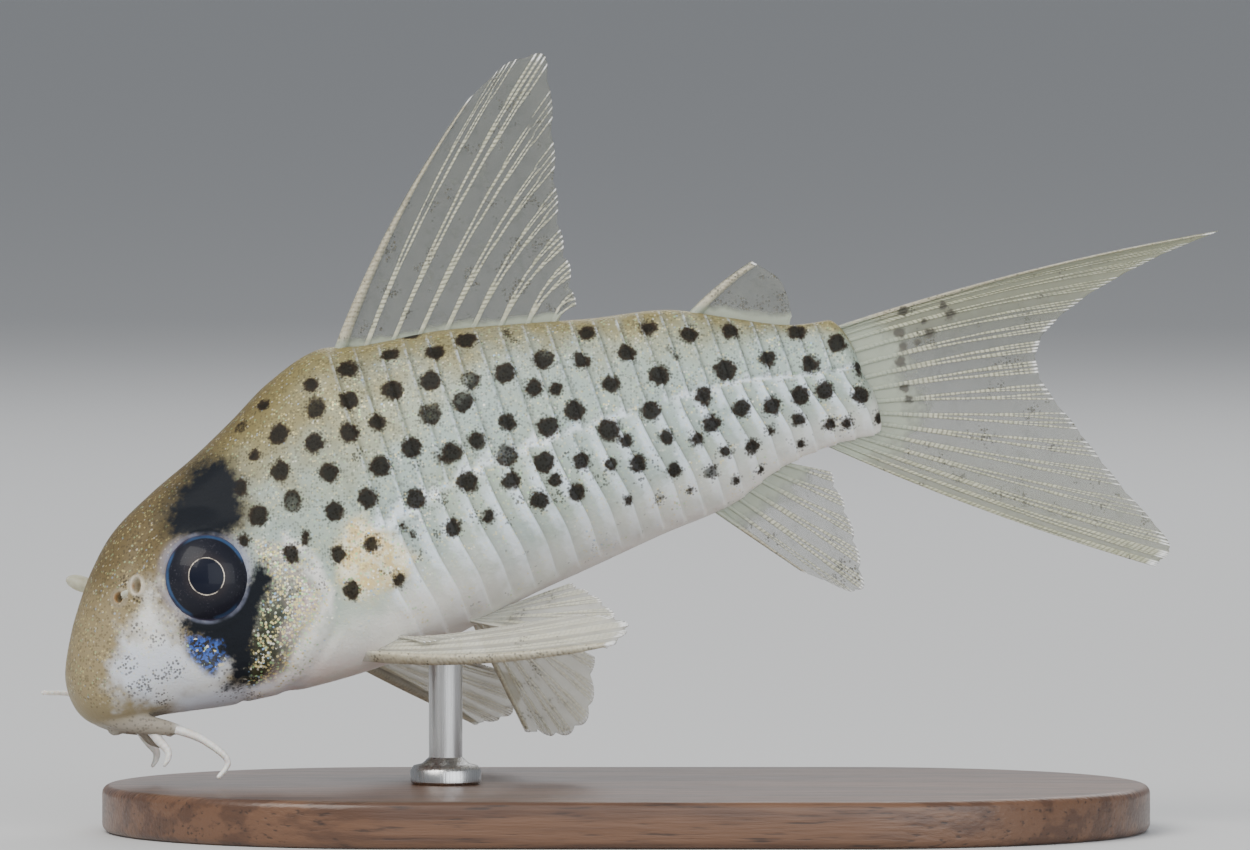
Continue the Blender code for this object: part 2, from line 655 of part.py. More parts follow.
def barbels(material):
    """The long and the short barbel at each corner of the mouth."""
    tube("long_barbel_left", [mirror_side(p, -1) for p in (
        LONG_START, Vector((4.95, 2.35, -6.65)), Vector((5.65, 2.5, -7.6)), Vector((5.85, 2.5, -8.15)),
        Vector((5.60, 2.5, -8.5)), Vector((5.1, 2.6, -8.78)))], 0.27, 0.15, material)
    tube("long_barbel_right", [
        LONG_START, Vector((3.9, 3.7, -5.75)), Vector((2.3, 4.9, -4.6)), Vector((0.6, 5.3, -2.6)),
        Vector((-0.95, 5.3, -1.85))], 0.27, 0.14, material)
    for name, side in (("short_barbel_right", 1), ("short_barbel_left", -1)):
        tube(name, [mirror_side(p, side) for p in (
            SHORT_START, Vector((3.0, 1.95, -6.6)), Vector((2.9, 2.0, -7.0)), Vector((2.6, 1.95, -7.3)))],
            0.24, 0.13, material, 8)


def surface(name, colour, roughness, metallic=0.0):
    material = bpy.data.materials.new(name)
    material.use_nodes = True
    shader = material.node_tree.nodes["Principled BSDF"]
    shader.inputs["Base Color"].default_value = (*colour, 1.0)
    shader.inputs["Roughness"].default_value = roughness
    shader.inputs["Metallic"].default_value = metallic
    return material


def main():
    clear_scene()
    flesh_head = surface("olive_head", (0.42, 0.36, 0.24), 0.35)
    flesh_trunk = surface("silver_flank", (0.52, 0.56, 0.50), 0.32)
    flesh_tail = surface("silver_tail", (0.50, 0.55, 0.48), 0.32)
    membrane = surface("clear_fin", (0.55, 0.56, 0.48), 0.3)
    pale = surface("pale_feeler", (0.85, 0.83, 0.78), 0.35)
    iris = surface("dark_eye", (0.02, 0.03, 0.06), 0.08)
    wood = surface("dark_wood", (0.10, 0.05, 0.03), 0.4)
    steel = surface("rod_steel", (0.6, 0.6, 0.6), 0.25, 1.0)

    head(flesh_head)
    body_piece("trunk", trunk_rings(), flesh_trunk)
    body_piece("tail", tail_rings(), flesh_tail)
    eyeball("eye_right", 1, iris)
    eyeball("eye_left", -1, iris)
    lower_lip(pale)
    fins(membrane)
    barbels(pale)
    stand(wood, steel)


main()
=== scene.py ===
"""A small spotted armoured catfish as a life-size museum model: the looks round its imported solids.

The fish is shaped in its own frame, in millimetres: "along" runs from the snout to the tail, "side" is
across the body (the fish's right is positive) and "up" is towards the back. pose() bends it, tips it head
down and sets it over the stand, in metres. Markings are placed on the left side, and mirrored to the right.
"""

import functools
import json
import math
import random

import bmesh
import bpy
from bpy.props import FloatProperty, FloatVectorProperty, IntProperty, PointerProperty
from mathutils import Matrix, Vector, kdtree

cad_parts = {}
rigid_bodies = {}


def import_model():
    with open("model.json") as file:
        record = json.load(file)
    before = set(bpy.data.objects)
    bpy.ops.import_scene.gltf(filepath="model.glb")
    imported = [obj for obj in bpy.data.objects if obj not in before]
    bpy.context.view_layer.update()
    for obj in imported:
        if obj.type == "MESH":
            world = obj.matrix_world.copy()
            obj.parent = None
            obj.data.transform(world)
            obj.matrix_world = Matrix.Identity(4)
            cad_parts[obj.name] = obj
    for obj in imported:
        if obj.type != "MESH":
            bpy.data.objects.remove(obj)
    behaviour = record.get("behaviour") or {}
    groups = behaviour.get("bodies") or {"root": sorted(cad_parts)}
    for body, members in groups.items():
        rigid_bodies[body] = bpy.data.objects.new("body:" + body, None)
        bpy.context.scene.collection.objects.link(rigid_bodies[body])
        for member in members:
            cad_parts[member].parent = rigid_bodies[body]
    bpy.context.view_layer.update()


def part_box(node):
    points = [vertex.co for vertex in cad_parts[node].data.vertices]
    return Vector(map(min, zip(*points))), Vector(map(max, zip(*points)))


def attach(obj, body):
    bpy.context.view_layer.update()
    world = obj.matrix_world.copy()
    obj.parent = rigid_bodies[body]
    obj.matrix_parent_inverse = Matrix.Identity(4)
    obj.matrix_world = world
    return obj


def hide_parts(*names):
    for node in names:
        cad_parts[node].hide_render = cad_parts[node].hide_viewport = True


bl_info = {
    "name": "Spotted catfish model",
    "version": (1, 0, 0),
    "blender": (4, 5, 0),
    "location": "3D View > Sidebar > Catfish",
    "description": "Builds the skin, eyes, fins, feelers and stand of a life-size catfish model",
    "category": "Add Mesh",
}

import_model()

MM = 0.001

# Pose of the fish over the stand, as in the solids
PITCH = math.radians(18.3)
SNOUT_X = -29.7
SNOUT_Z = 9.7
TURN_END = 18.0
TURN = 0.24
SWING_START = 22.0
SWING_LENGTH = 23.0
SWING = 1.2

# The photo: the size of a pixel, the pixel where the fish's frame starts, and the point that its middle shows
PIXEL = 0.0534
SNOUT_PIXEL = (70, 650)
VIEW_MIDDLE = Vector((-0.06, 0.0, 21.7))
VIEW_WIDTH = 66.75
VIEW_DISTANCE = 900.0
VIEW_RISE = math.radians(2.2)

# The body's sections. Each row: place along the body; the back's point (along, up); the belly's point (along,
# up); half the width; where between belly and back it is widest; how full it is above and below that
SECTIONS = (
    (0.0, (-0.62, -2.0), (-0.62, -2.4), 0.15, 0.50, 1.00, 1.00),
    (0.3, (-0.52, -1.2), (-0.56, -3.0), 1.00, 0.50, 1.00, 1.00),
    (0.7, (-0.20, -0.4), (-0.30, -3.7), 1.75, 0.48, 1.00, 0.95),
    (1.2, (0.30, 0.55), (0.35, -4.35), 2.40, 0.46, 1.00, 0.90),
    (2.0, (1.00, 1.70), (1.50, -4.80), 2.95, 0.43, 1.00, 0.85),
    (3.2, (2.40, 3.55), (3.10, -4.75), 3.50, 0.40, 1.00, 0.80),
    (4.8, (4.20, 5.25), (4.90, -5.05), 4.00, 0.37, 1.00, 0.76),
    (7.0, (6.80, 6.60), (7.00, -5.45), 4.45, 0.34, 1.00, 0.74),
    (9.5, (9.50, 7.70), (9.50, -5.75), 4.90, 0.31, 1.02, 0.72),
    (12.0, (12.00, 8.90), (12.00, -5.95), 5.35, 0.27, 1.06, 0.72),
    (14.5, (14.50, 10.20), (14.50, -6.05), 5.75, 0.25, 1.10, 0.72),
    (17.5, (17.50, 11.05), (17.50, -6.00), 5.75, 0.27, 1.16, 0.74),
    (20.0, (20.00, 10.50), (20.00, -5.70), 5.50, 0.31, 1.18, 0.78),
    (24.0, (24.00, 10.00), (24.00, -5.00), 4.85, 0.36, 1.16, 0.84),
    (28.0, (28.00, 9.05), (28.00, -4.55), 4.05, 0.41, 1.12, 0.90),
    (32.0, (32.00, 8.05), (32.00, -4.10), 3.20, 0.45, 1.08, 0.94),
    (36.0, (36.00, 7.20), (36.00, -3.75), 2.40, 0.48, 1.04, 0.96),
    (39.0, (39.00, 5.75), (39.00, -2.75), 1.80, 0.50, 1.00, 0.98),
    (42.0, (42.00, 4.35), (42.00, -2.45), 1.35, 0.50, 1.00, 1.00),
    (45.6, (45.60, 3.75), (45.60, -2.75), 0.85, 0.50, 1.00, 1.00),
)
SECTION_STEP = 0.05             # the sections are read once at places this far apart
# The line between the upper and the lower row of plates, as a share of the way from back to belly
PLATE_LINE = ((0.0, 0.42), (16.0, 0.42), (22.0, 0.405), (30.0, 0.42), (37.0, 0.435), (46.0, 0.45))
PLATE_START = 16.9
PLATE_COUNT = 24
PLATE_PITCH = 1.34
PLATE_SHRINK = 0.0135
PLATE_LEAN = 0.65
PLATE_DROP = 0.06               # the share of a plate's length that drops behind its rear edge
TAIL_END = 44.0

# The skin's mesh
HEAD_RINGS = 104
RINGS_A_PLATE = (0.0, 0.11, 0.22, 0.33, 0.44, 0.50, 0.61, 0.72, 0.83, 0.94)
CLOSING_RINGS = 8
CLOSING_LENGTH = 0.9            # how far the rounded end of the body reaches into the tail fin
COLUMNS_ABOVE = 40
COLUMNS_BELOW = 62

# Places on the left side, in pixels of the photo
EYE_PIXEL = (207, 578)
NOSTRIL_REAR = (137, 586)
NOSTRIL_FRONT = (119, 598)
NOSTRIL_FLAP = (128, 593)
FAR_FLAP = (117, 590)
MASK_ABOVE = (
    (176, 532), (169, 517), (180, 494), (196, 474), (211, 462), (226, 466), (236, 484), (239, 504),
    (236, 522), (228, 534), (205, 536),
)
MASK_BELOW = (
    (255, 568), (262, 565), (270, 578), (267, 588), (261, 601), (259, 616), (254, 637), (248, 657),
    (246, 675), (239, 688), (227, 688), (230, 678), (236, 665), (230, 657), (223, 651), (223, 640),
    (203, 637), (188, 635), (182, 627), (188, 618), (204, 616), (223, 610), (237, 600), (247, 588),
    (252, 578),
)
BLUE_PATCH = ((184, 632), (229, 634), (230, 653), (215, 673), (200, 669), (187, 655))
GILL_COVER = (
    (254, 542), (284, 548), (305, 573), (324, 596), (317, 622), (302, 645), (290, 668), (272, 684),
    (249, 689), (243, 680), (251, 640), (258, 614), (264, 596), (270, 578), (262, 563),
)
GILL_SLIT = (
    (284, 534), (303, 545), (322, 566), (334, 592), (331, 622), (317, 652), (300, 676), (276, 694),
    (249, 700), (252, 690), (272, 685), (290, 668), (302, 645), (317, 622), (324, 596), (305, 573),
    (284, 548),
)
SHIELD = (
    (343, 514), (361, 512), (387, 530), (422, 558), (412, 578), (361, 604), (343, 596), (330, 573),
    (338, 542),
)
CHEEK = (
    (158, 583), (162, 604), (182, 622), (182, 632), (190, 637), (195, 641), (200, 642), (229, 645),
    (241, 664), (236, 690), (175, 715), (144, 712), (120, 703), (104, 685), (117, 650), (129, 624),
    (137, 604), (147, 586),
)
FLECKS = (
    (126, 583, 7), (136, 602, 8), (157, 638, 8), (138, 630, 7), (126, 665, 9), (174, 668, 10),
    (160, 676, 8), (144, 686, 8), (164, 699, 8), (132, 690, 7), (254, 696, 8), (320, 583, 8),
    (420, 556, 7), (386, 572, 5), (300, 590, 6), (437, 533, 8), (436, 497, 8), (417, 463, 8),
    (357, 453, 8), (348, 434, 5), (443, 500, 7), (520, 500, 8), (535, 478, 6), (560, 495, 8),
    (600, 480, 8), (640, 480, 7), (566, 455, 6), (655, 462, 6), (478, 515, 8), (508, 520, 6),
)
SPOTS_LARGE = (
    (316, 408), (279, 434), (315, 443), (280, 470), (329, 473), (292, 502), (259, 516), (334, 512),
    (348, 370), (349, 401), (349, 433), (393, 392), (381, 467), (368, 499), (411, 332), (431, 381),
    (430, 415), (411, 449), (415, 500), (467, 341), (463, 403), (451, 453), (505, 374), (468, 483),
    (544, 360), (548, 427), (544, 463), (574, 411), (659, 376), (609, 430), (507, 456), (725, 370),
)
SPOTS_MIDDLE = (
    (311, 385), (291, 554), (339, 555), (352, 590), (372, 544), (390, 355), (377, 423), (434, 353),
    (471, 381), (453, 527), (477, 441), (507, 423), (511, 481), (539, 501), (534, 389), (545, 463),
    (587, 334), (580, 361), (611, 385), (627, 353), (649, 329), (582, 462), (576, 492), (651, 412),
    (638, 463), (689, 335), (730, 332), (703, 397), (711, 424), (742, 408), (767, 359), (772, 406),
    (797, 333), (810, 364), (800, 395), (824, 391), (837, 344), (863, 367), (860, 395), (864, 338),
    (241, 488), (226, 518),
)
SPOTS_SMALL = (
    (305, 538), (244, 541), (254, 456), (241, 427), (263, 406), (556, 390), (610, 465), (666, 436),
    (696, 439), (725, 452), (752, 447), (710, 472), (799, 420), (830, 424), (847, 423), (674, 470),
    (488, 517), (399, 580), (882, 418), (555, 480), (625, 441),
)
TAIL_SPOTS = (
    (900, 334, 5), (903, 348, 4), (901, 363, 5), (905, 389, 4), (909, 401, 4), (930, 334, 5),
    (903, 313, 5), (943, 307, 4), (951, 316, 5), (925, 322, 3), (918, 343, 3),
)
SPOTS_TINY = (
    (760, 470), (735, 480), (690, 490), (660, 498), (628, 500), (800, 445), (770, 430), (886, 352),
)
SLASHES = (
    ((402, 526), (414, 536)), ((505, 331), (514, 341)), ((669, 350), (677, 358)), ((436, 452), (441, 462)),
)
SLASH_SIZE = 3.0
SPOT_SIZES = ((SPOTS_LARGE, 11.4), (SPOTS_MIDDLE, 9.6), (SPOTS_SMALL, 7.2), (SPOTS_TINY, 4.6))

EYE_DEPTH = 1.65                # the eyeball's half depth
EYE_SINK = 0.60                 # how far its middle lies under the skin
EYE_AXIS = Vector((-0.10, 1.0, 0.12))
EYE_OPENING = 0.93              # the opening in the skin, as a share of the eyeball's radius

ORBIT_SNAP = (0.16, 0.05)       # points this far inside or outside the opening's edge move onto it
ORBIT_SINK = 0.45               # how far the skin under the eyeball lies below its surface
ORBIT_SPREAD = 1.8              # how far from the opening the skin still rises to the rim
LID_LIFT = 0.02                 # the rim's inner edge over the eyeball
LID_HEIGHT = 0.10
LID_WIDTH = 0.5

# Heights and depths of the relief
SEAM_DEPTH = 0.10
SEAM_WIDTH = 0.022              # as a share of the way from back to belly
GILL_HEIGHT = 0.12
BORDER_HEIGHT = 0.08
SLIT_DEPTH = 0.12
SLIT_OFFSET = 0.35
SLIT_WIDTH = 0.22
SHIELD_HEIGHT = 0.10

# The nostrils of a side: pixel, half width, half height and the rim's height
NOSTRILS = ((NOSTRIL_REAR, 0.27, 0.46, 0.12), (NOSTRIL_FRONT, 0.24, 0.30, 0.09))
PIT_DEPTH = 0.55

# The mouth, under the snout
LOBE_ROUTE = ((0.60, 1.00, -3.70), (1.55, 1.60, -4.45), (2.70, 1.92, -5.12),
              (3.55, 2.08, -5.56), (4.05, 2.12, -5.78))
LOBE_RADII = (0.70, 0.66, 0.54, 0.40, 0.22)
# A lip's middle (along, up), its reach forward, half its width and its radius
UPPER_LIP = (2.35, -4.72, 1.35, 1.25, 0.40)
LOWER_LIP = (2.95, -5.12, 0.75, 0.95, 0.32)

LONG_LEFT = ((3.75, -2.10, -5.66), (4.35, -2.20, -6.10), (4.95, -2.35, -6.65),
             (5.65, -2.5, -7.6), (5.85, -2.5, -8.15), (5.60, -2.5, -8.5),
             (5.1, -2.6, -8.78))
LONG_RIGHT = ((3.7, 2.10, -5.64), (4.1, 2.7, -5.95), (3.9, 3.7, -5.75),
              (2.3, 4.9, -4.6), (0.6, 5.3, -2.6), (-0.95, 5.3, -1.85))
SHORT_ROUTE = ((2.55, 1.65, -5.25), (2.75, 1.85, -5.95), (3.0, 1.95, -6.6),
               (2.9, 2.0, -7.0), (2.6, 1.95, -7.3))
CHIN_ROUTE = ((2.35, 0.40, -5.35), (2.6, 0.55, -6.0), (3.05, 0.6, -6.4))

# The fins' rays and web
SPARE_WEB = 0.16                # web beyond the first and the last ray, as a share of the rays' spacing
FORK = (0.045, 0.115)           # how far a ray's branches stand apart: at the root, and more at the tip
TWIG = 0.075                    # how far each branch parts again
LEAST_HALF = 0.012              # half the thickness of the web where it is thinnest
JOINT_SHIFT = (0.13, 0.34)      # how a ray's joints lie against the next ray's
NO_SPOT = 9.0                   # the distance kept where a fin has no spots

# The stand, in millimetres. The collar's outline is (outwards, over the base), from the collar's edge and
# then from the rod's surface
BASE_BEVEL = 0.45
ROD_RADIUS = 0.9
ROD_HIDDEN = 0.9
COLLAR_EDGE = ((-0.15, 0.0), (0.0, 0.15), (0.0, 0.75), (-0.18, 1.0))
COLLAR_NECK = ((0.35, 1.12), (0.0, 1.45))

# Tints beside those in the settings
FLANK_BLUE = (0.350, 0.435, 0.430)
# Painted shade for the drop behind each plate's rear edge
PLATE_STEP_SHADE = (0.210, 0.230, 0.190)
SEAM_WHITE = (0.80, 0.87, 0.92)
CHEEK_PEARL = (0.77, 0.77, 0.74)
LIP_GREY = (0.330, 0.295, 0.240)
THROAT_ROSE = (0.84, 0.64, 0.58)
GLEAM_GOLD = (0.86, 0.74, 0.34)
GLEAM_GREEN = (0.46, 0.72, 0.38)
GLEAM_CREAM = (0.95, 0.91, 0.78)
GLEAM_BLUE = (0.36, 0.58, 0.85)
GILL_PEARL = (0.70, 0.66, 0.56)
GILL_ROSE = (0.56, 0.42, 0.42)
GILL_DARK = (0.026, 0.030, 0.016)
# Pale pearl of the gill's rear border, partly a painted highlight along its raised edge
SLIT_PEARL_AND_HIGHLIGHT = (0.86, 0.83, 0.80)
SHIELD_PALE = (0.88, 0.82, 0.60)
FLECK_BROWN = (0.024, 0.019, 0.014)
LID_LILAC = (0.30, 0.30, 0.40)
LID_EDGE = (0.30, 0.32, 0.44)
BROW_SHADE = (0.040, 0.034, 0.018)
SPOT_BROWN = (0.036, 0.021, 0.011)
NOSTRIL_RIM = (0.66, 0.60, 0.48)
NOSTRIL_SKIN = (0.60, 0.55, 0.45)
NOSTRIL_INSIDE = (0.36, 0.20, 0.080)
IRIS_FLECK = (0.12, 0.115, 0.14)
IRIS_INNER = (0.040, 0.030, 0.030)
IRIS_EDGE = (0.13, 0.10, 0.16)
PUPIL_BLACK = (0.002, 0.004, 0.014)
RAY_OLIVE = (0.40, 0.41, 0.28)
RAY_JOINT = (0.22, 0.215, 0.155)
RAY_FOLDED = (0.34, 0.36, 0.19)
RAY_MILKY = (0.74, 0.71, 0.58)
SPINE_PALE = (0.64, 0.60, 0.46)
SPINE_SPECK = (0.060, 0.052, 0.036)
WEB_FOLDED = (0.27, 0.28, 0.17)
WEB_MILKY = (0.64, 0.62, 0.53)
WEB_SPECK = (0.045, 0.040, 0.030)
FOOT_SILVER = (0.370, 0.410, 0.330)
FOOT_MILKY = (0.820, 0.790, 0.720)
FIN_SPOT = (0.030, 0.024, 0.018)
RAY_TIP = (0.95, 0.94, 0.90)
FEELER_SHADE = (0.66, 0.60, 0.54)
FLAP_PALE = (0.66, 0.66, 0.52)
WOOD_PORE = (0.022, 0.011, 0.007)
AIR_TINT = (0.90, 0.94, 1.0, 1.0)


def colour(name, description, value):
    return FloatVectorProperty(name=name, description=description, subtype="COLOR", size=3, min=0.0, max=1.0,
                               default=value)


def length(name, description, millimetres):
    return FloatProperty(name=name, description=description, subtype="DISTANCE", unit="LENGTH", min=0.0,
                         precision=5, default=millimetres * MM)


class CatfishSkinSettings(bpy.types.PropertyGroup):
    """Colours and sizes of the skin."""
    back: colour("Back", "Olive gold along the back", (0.235, 0.198, 0.082))
    flank: colour("Flank", "Pale silver green of the flanks", (0.385, 0.450, 0.375))
    band: colour("Plate bands", "Bluish white of the plates' edges", (0.730, 0.820, 0.890))
    belly: colour("Belly", "Creamy white of the belly", (0.860, 0.830, 0.780))
    snout: colour("Snout", "Tan of the snout", (0.275, 0.222, 0.124))
    forehead: colour("Forehead", "Golden brown of the forehead", (0.118, 0.086, 0.038))
    cheek: colour("Cheek", "Lilac white of the cheek", (0.640, 0.680, 0.760))
    mask: colour("Mask", "Blue black of the band through the eye", (0.008, 0.010, 0.014))
    blue: colour("Cheek gleam", "Blue gleam under the eye", (0.030, 0.120, 0.520))
    shield: colour("Shoulder", "Orange tan of the shoulder plate", (0.760, 0.560, 0.240))
    spot: colour("Spots", "Black brown of the round spots", (0.010, 0.008, 0.006))
    plate_height: length("Plate height", "Step behind a plate's rear edge", 0.13)


class CatfishEyeSettings(bpy.types.PropertyGroup):
    """Colours and sizes of the eyes."""
    radius: length("Eye radius", "Radius of the eyeball", 2.48)
    pupil: length("Pupil radius", "Radius of the pupil", 0.97)
    iris: colour("Iris", "Dark blue brown of the iris", (0.010, 0.011, 0.018))
    ring: colour("Ring", "Silver gold of the ring round the pupil", (0.720, 0.640, 0.520))
    rim: colour("Rim", "Blue gleam at the edge of the iris", (0.100, 0.230, 0.500))


class CatfishFinSettings(bpy.types.PropertyGroup):
    """Colours and sizes of the fins and feelers."""
    web: colour("Web", "Clear grey of the fins' web", (0.170, 0.180, 0.150))
    ray: colour("Rays", "Cream of the fins' rays", (0.760, 0.740, 0.580))
    spine: colour("Leading rays", "Tan of the leading rays", (0.430, 0.385, 0.285))
    feeler: colour("Feelers", "White of the feelers", (0.860, 0.840, 0.800))
    web_cover: FloatProperty(name="Web cover", description="How far the web hides what is behind it", min=0.0,
                             max=1.0, default=0.28)
    web_half: length("Web half thickness", "Half the thickness of the web", 0.045)
    ray_half: length("Ray half thickness", "Half the thickness of a ray at its root", 0.09)
    columns: IntProperty(name="Columns a ray", description="Mesh columns from one ray to the next", min=6,
                         default=22)


class CatfishStandSettings(bpy.types.PropertyGroup):
    """Colours of the stand."""
    wood: colour("Wood", "Dark stained wood", (0.085, 0.040, 0.022))
    grain: colour("Grain", "Paler lines of the wood's grain", (0.190, 0.095, 0.050))
    steel: colour("Steel", "Brushed steel of the rod", (0.600, 0.600, 0.600))


class CatfishStudioSettings(bpy.types.PropertyGroup):
    """Floor and light."""
    floor: colour("Floor", "Plain pale floor", (0.620, 0.625, 0.630))
    key: FloatProperty(name="Key light", description="Power of the main light", subtype="POWER", default=5.2)
    fill: FloatProperty(name="Fill light", description="Power of the softer light", subtype="POWER",
                        default=3.6)
    air: FloatProperty(name="Air", description="Brightness of the air round the model", default=0.34)


# Curves, the pose and the body's surface

def smoothstep(low, high, value):
    share = min(max((value - low) / (high - low), 0.0), 1.0)
    return share * share * (3.0 - 2.0 * share)


def curve(points, at):
    """Reads a smooth curve through (place, value) pairs; a value is a number or a tuple of numbers."""
    last = len(points) - 2
    i = 0
    while i < last and at > points[i + 1][0]:
        i += 1
    (t0, p0), (t1, p1) = points[i], points[i + 1]
    before, after = points[max(i - 1, 0)], points[min(i + 2, last + 1)]
    span = t1 - t0
    share = min(max((at - t0) / span, 0.0), 1.0)

    def one(a, b, c, d):
        start = (c - a) / (t1 - before[0]) * span if i else c - b
        end = (d - b) / (after[0] - t0) * span if i < last else c - b
        s2, s3 = share * share, share ** 3
        return ((2 * s3 - 3 * s2 + 1) * b + (s3 - 2 * s2 + share) * start + (3 * s2 - 2 * s3) * c
                + (s3 - s2) * end)

    if isinstance(p0, tuple):
        return tuple(one(a, b, c, d) for a, b, c, d in zip(before[1], p0, p1, after[1]))
    return one(before[1], p0, p1, after[1])


def shares(count):
    return [i / (count - 1) for i in range(count)]


def evenly(points, share):
    """Reads a smooth curve through points at even places, from 0 at the first to 1 at the last."""
    return Vector(curve([(i, tuple(p)) for i, p in enumerate(points)], share * (len(points) - 1)))


def spine(along):
    """How far aside the middle of the body stands at a place along it, and its slope there."""
    if along < TURN_END:
        left = TURN_END - along
        return -TURN * left * left / (2 * TURN_END), TURN * left / TURN_END
    bend = max(along - SWING_START, 0.0) / SWING_LENGTH
    return SWING * bend * bend, 2 * SWING * bend / SWING_LENGTH


def pose(point):
    """Takes a point of the fish's frame, in millimetres, to its place over the stand, in metres."""
    along, side, up = point
    aside, slope = spine(along)
    tilt = math.atan(slope)
    along -= side * math.sin(tilt)
    side = aside + side * math.cos(tilt)
    x = SNOUT_X + along * math.cos(PITCH) - up * math.sin(PITCH)
    z = SNOUT_Z + along * math.sin(PITCH) + up * math.cos(PITCH)
    return Vector((x, side, z)) * MM


def fish_plane(x, z):
    """Takes a place across and over the photo, in millimetres, to the fish's along and up."""
    across, over = x - SNOUT_X, z - SNOUT_Z
    cos, sin = math.cos(PITCH), math.sin(PITCH)
    return (across * cos + over * sin, -across * sin + over * cos)


def from_pixel(pixel):
    across, down = pixel[0] - SNOUT_PIXEL[0], pixel[1] - SNOUT_PIXEL[1]
    return fish_plane(SNOUT_X + across * PIXEL, SNOUT_Z - down * PIXEL)


def seen(point):
    """Where the camera sees a point of the left side, or of the right one's mirror image, in along and up."""
    place = pose((point[0], -abs(point[1]), point[2])) / MM - VIEW_MIDDLE
    over = place.z * math.cos(VIEW_RISE) + place.y * math.sin(VIEW_RISE)
    near = place.z * math.sin(VIEW_RISE) - place.y * math.cos(VIEW_RISE)
    closer = VIEW_DISTANCE / (VIEW_DISTANCE - near)
    return fish_plane(VIEW_MIDDLE.x + place.x * closer, VIEW_MIDDLE.z + over * closer)


def section_table():
    flat = [(row[0], row[1] + row[2] + row[3:]) for row in SECTIONS]
    return [curve(flat, i * SECTION_STEP) for i in range(int(SECTIONS[-1][0] / SECTION_STEP) + 2)]


SECTION_TABLE = section_table()


def skin(at, angle):
    """The smooth body's point at a place along it and an angle, from 0 at the back round its right side."""
    place = min(max(at, 0.0), SECTIONS[-1][0]) / SECTION_STEP
    i = min(int(place), len(SECTION_TABLE) - 2)
    share = place - i
    ta, tu, ba, bu, wide, widest, above, below = (
        a + (b - a) * share for a, b in zip(SECTION_TABLE[i], SECTION_TABLE[i + 1]))
    c, s = math.cos(angle), math.sin(angle)
    ma, mu = ba + (ta - ba) * widest, bu + (tu - bu) * widest
    ea, eu, full = (ta, tu, above) if c >= 0 else (ba, bu, below)
    reach = abs(c) ** full
    return Vector((ma + (ea - ma) * reach, math.copysign(wide * abs(s) ** full, s), mu + (eu - mu) * reach))


def skin_normal(at, angle):
    step = 0.03
    along = skin(at + step, angle) - skin(at - step, angle)
    round_it = skin(at, angle + step) - skin(at, angle - step)
    return along.cross(round_it).normalized()


def on_side(pixel):
    """The right side's point whose like on the left is seen at this pixel, with its normal."""
    goal_along, goal_up = from_pixel(pixel)
    at, angle = goal_along, 1.5
    shift = 0.0
    for _ in range(14):
        low, high = 0.02, math.pi - 0.02
        for _ in range(20):
            angle = (low + high) / 2
            if skin(at, angle).z > goal_up + shift:
                low = angle
            else:
                high = angle
        along, up = seen(skin(at, angle))
        at += goal_along - along
        shift += goal_up - up
    return skin(at, angle), skin_normal(at, angle)


def mirror_side(point, side):
    return Vector((point[0], point[1] * side, point[2]))


def mirrored(points, side):
    return [mirror_side(p, side) for p in points]


def frame_round(axis):
    """Two axes square to this one, then the axis itself."""
    third = axis.normalized()
    first = Vector((0, 0, 1)).cross(third).normalized()
    return first, third.cross(first), third


# Distances on the fish's side, in millimetres

def outline(pixels):
    return [from_pixel(p) for p in pixels]


def from_edge(shape, along, up, margin=2.5):
    """The distance from an outline, less than nought inside it; past the margin only about right."""
    if not (min(p[0] for p in shape) - margin < along < max(p[0] for p in shape) + margin):
        return margin
    if not (min(p[1] for p in shape) - margin < up < max(p[1] for p in shape) + margin):
        return margin
    nearest, inside = margin * margin, False
    x0, y0 = shape[-1]
    for x1, y1 in shape:
        dx, dy = x1 - x0, y1 - y0
        share = min(max(((along - x0) * dx + (up - y0) * dy) / (dx * dx + dy * dy), 0.0), 1.0)
        gap_x, gap_y = along - x0 - dx * share, up - y0 - dy * share
        nearest = min(nearest, gap_x * gap_x + gap_y * gap_y)
        if (y0 > up) != (y1 > up) and along < x0 + (up - y0) * dx / dy:
            inside = not inside
        x0, y0 = x1, y1
    return -math.sqrt(nearest) if inside else math.sqrt(nearest)


def spot_tree(side):
    """The middles and radii of the spots on one side; the right side's differ a little from the left's."""
    dice = random.Random(7)
    spots = [(pixel, radius) for pixels, radius in SPOT_SIZES for pixel in pixels]
    for start, end in SLASHES:
        for share in shares(5):
            spots.append((tuple(a + (b - a) * share for a, b in zip(start, end)), SLASH_SIZE))
    tree, radii = kdtree.KDTree(len(spots)), []
    for i, (pixel, radius) in enumerate(spots):
        if side > 0:
            pixel = (pixel[0] + dice.uniform(-7, 7), pixel[1] + dice.uniform(-5, 5))
            radius *= dice.uniform(0.85, 1.12)
        tree.insert(mirror_side(on_side(pixel)[0], side), i)
        radii.append(radius * PIXEL)
    tree.balance()
    return tree, radii


def nearest_spot(trees, point):
    tree, radii = trees[1 if point.y > 0 else -1]
    return min(distance - radii[i] for _, i, distance in tree.find_n(point, 4))


# Building pieces

def face_outwards(bm):
    bm.normal_update()
    bmesh.ops.recalc_face_normals(bm, faces=bm.faces)


def add_piece(name, bm, material, slot, *nodes):
    """Makes a finished bmesh a piece of the model, which stands for the named solids."""
    face_outwards(bm)
    for face in bm.faces:
        face.smooth = True
    mesh = bpy.data.meshes.new(name)
    bm.to_mesh(mesh)
    bm.free()
    mesh.materials.append(material)
    piece = bpy.data.objects.new(name, mesh)
    bpy.context.scene.collection.objects.link(piece)
    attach(piece, "root")
    if nodes:
        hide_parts(*nodes)
    return piece


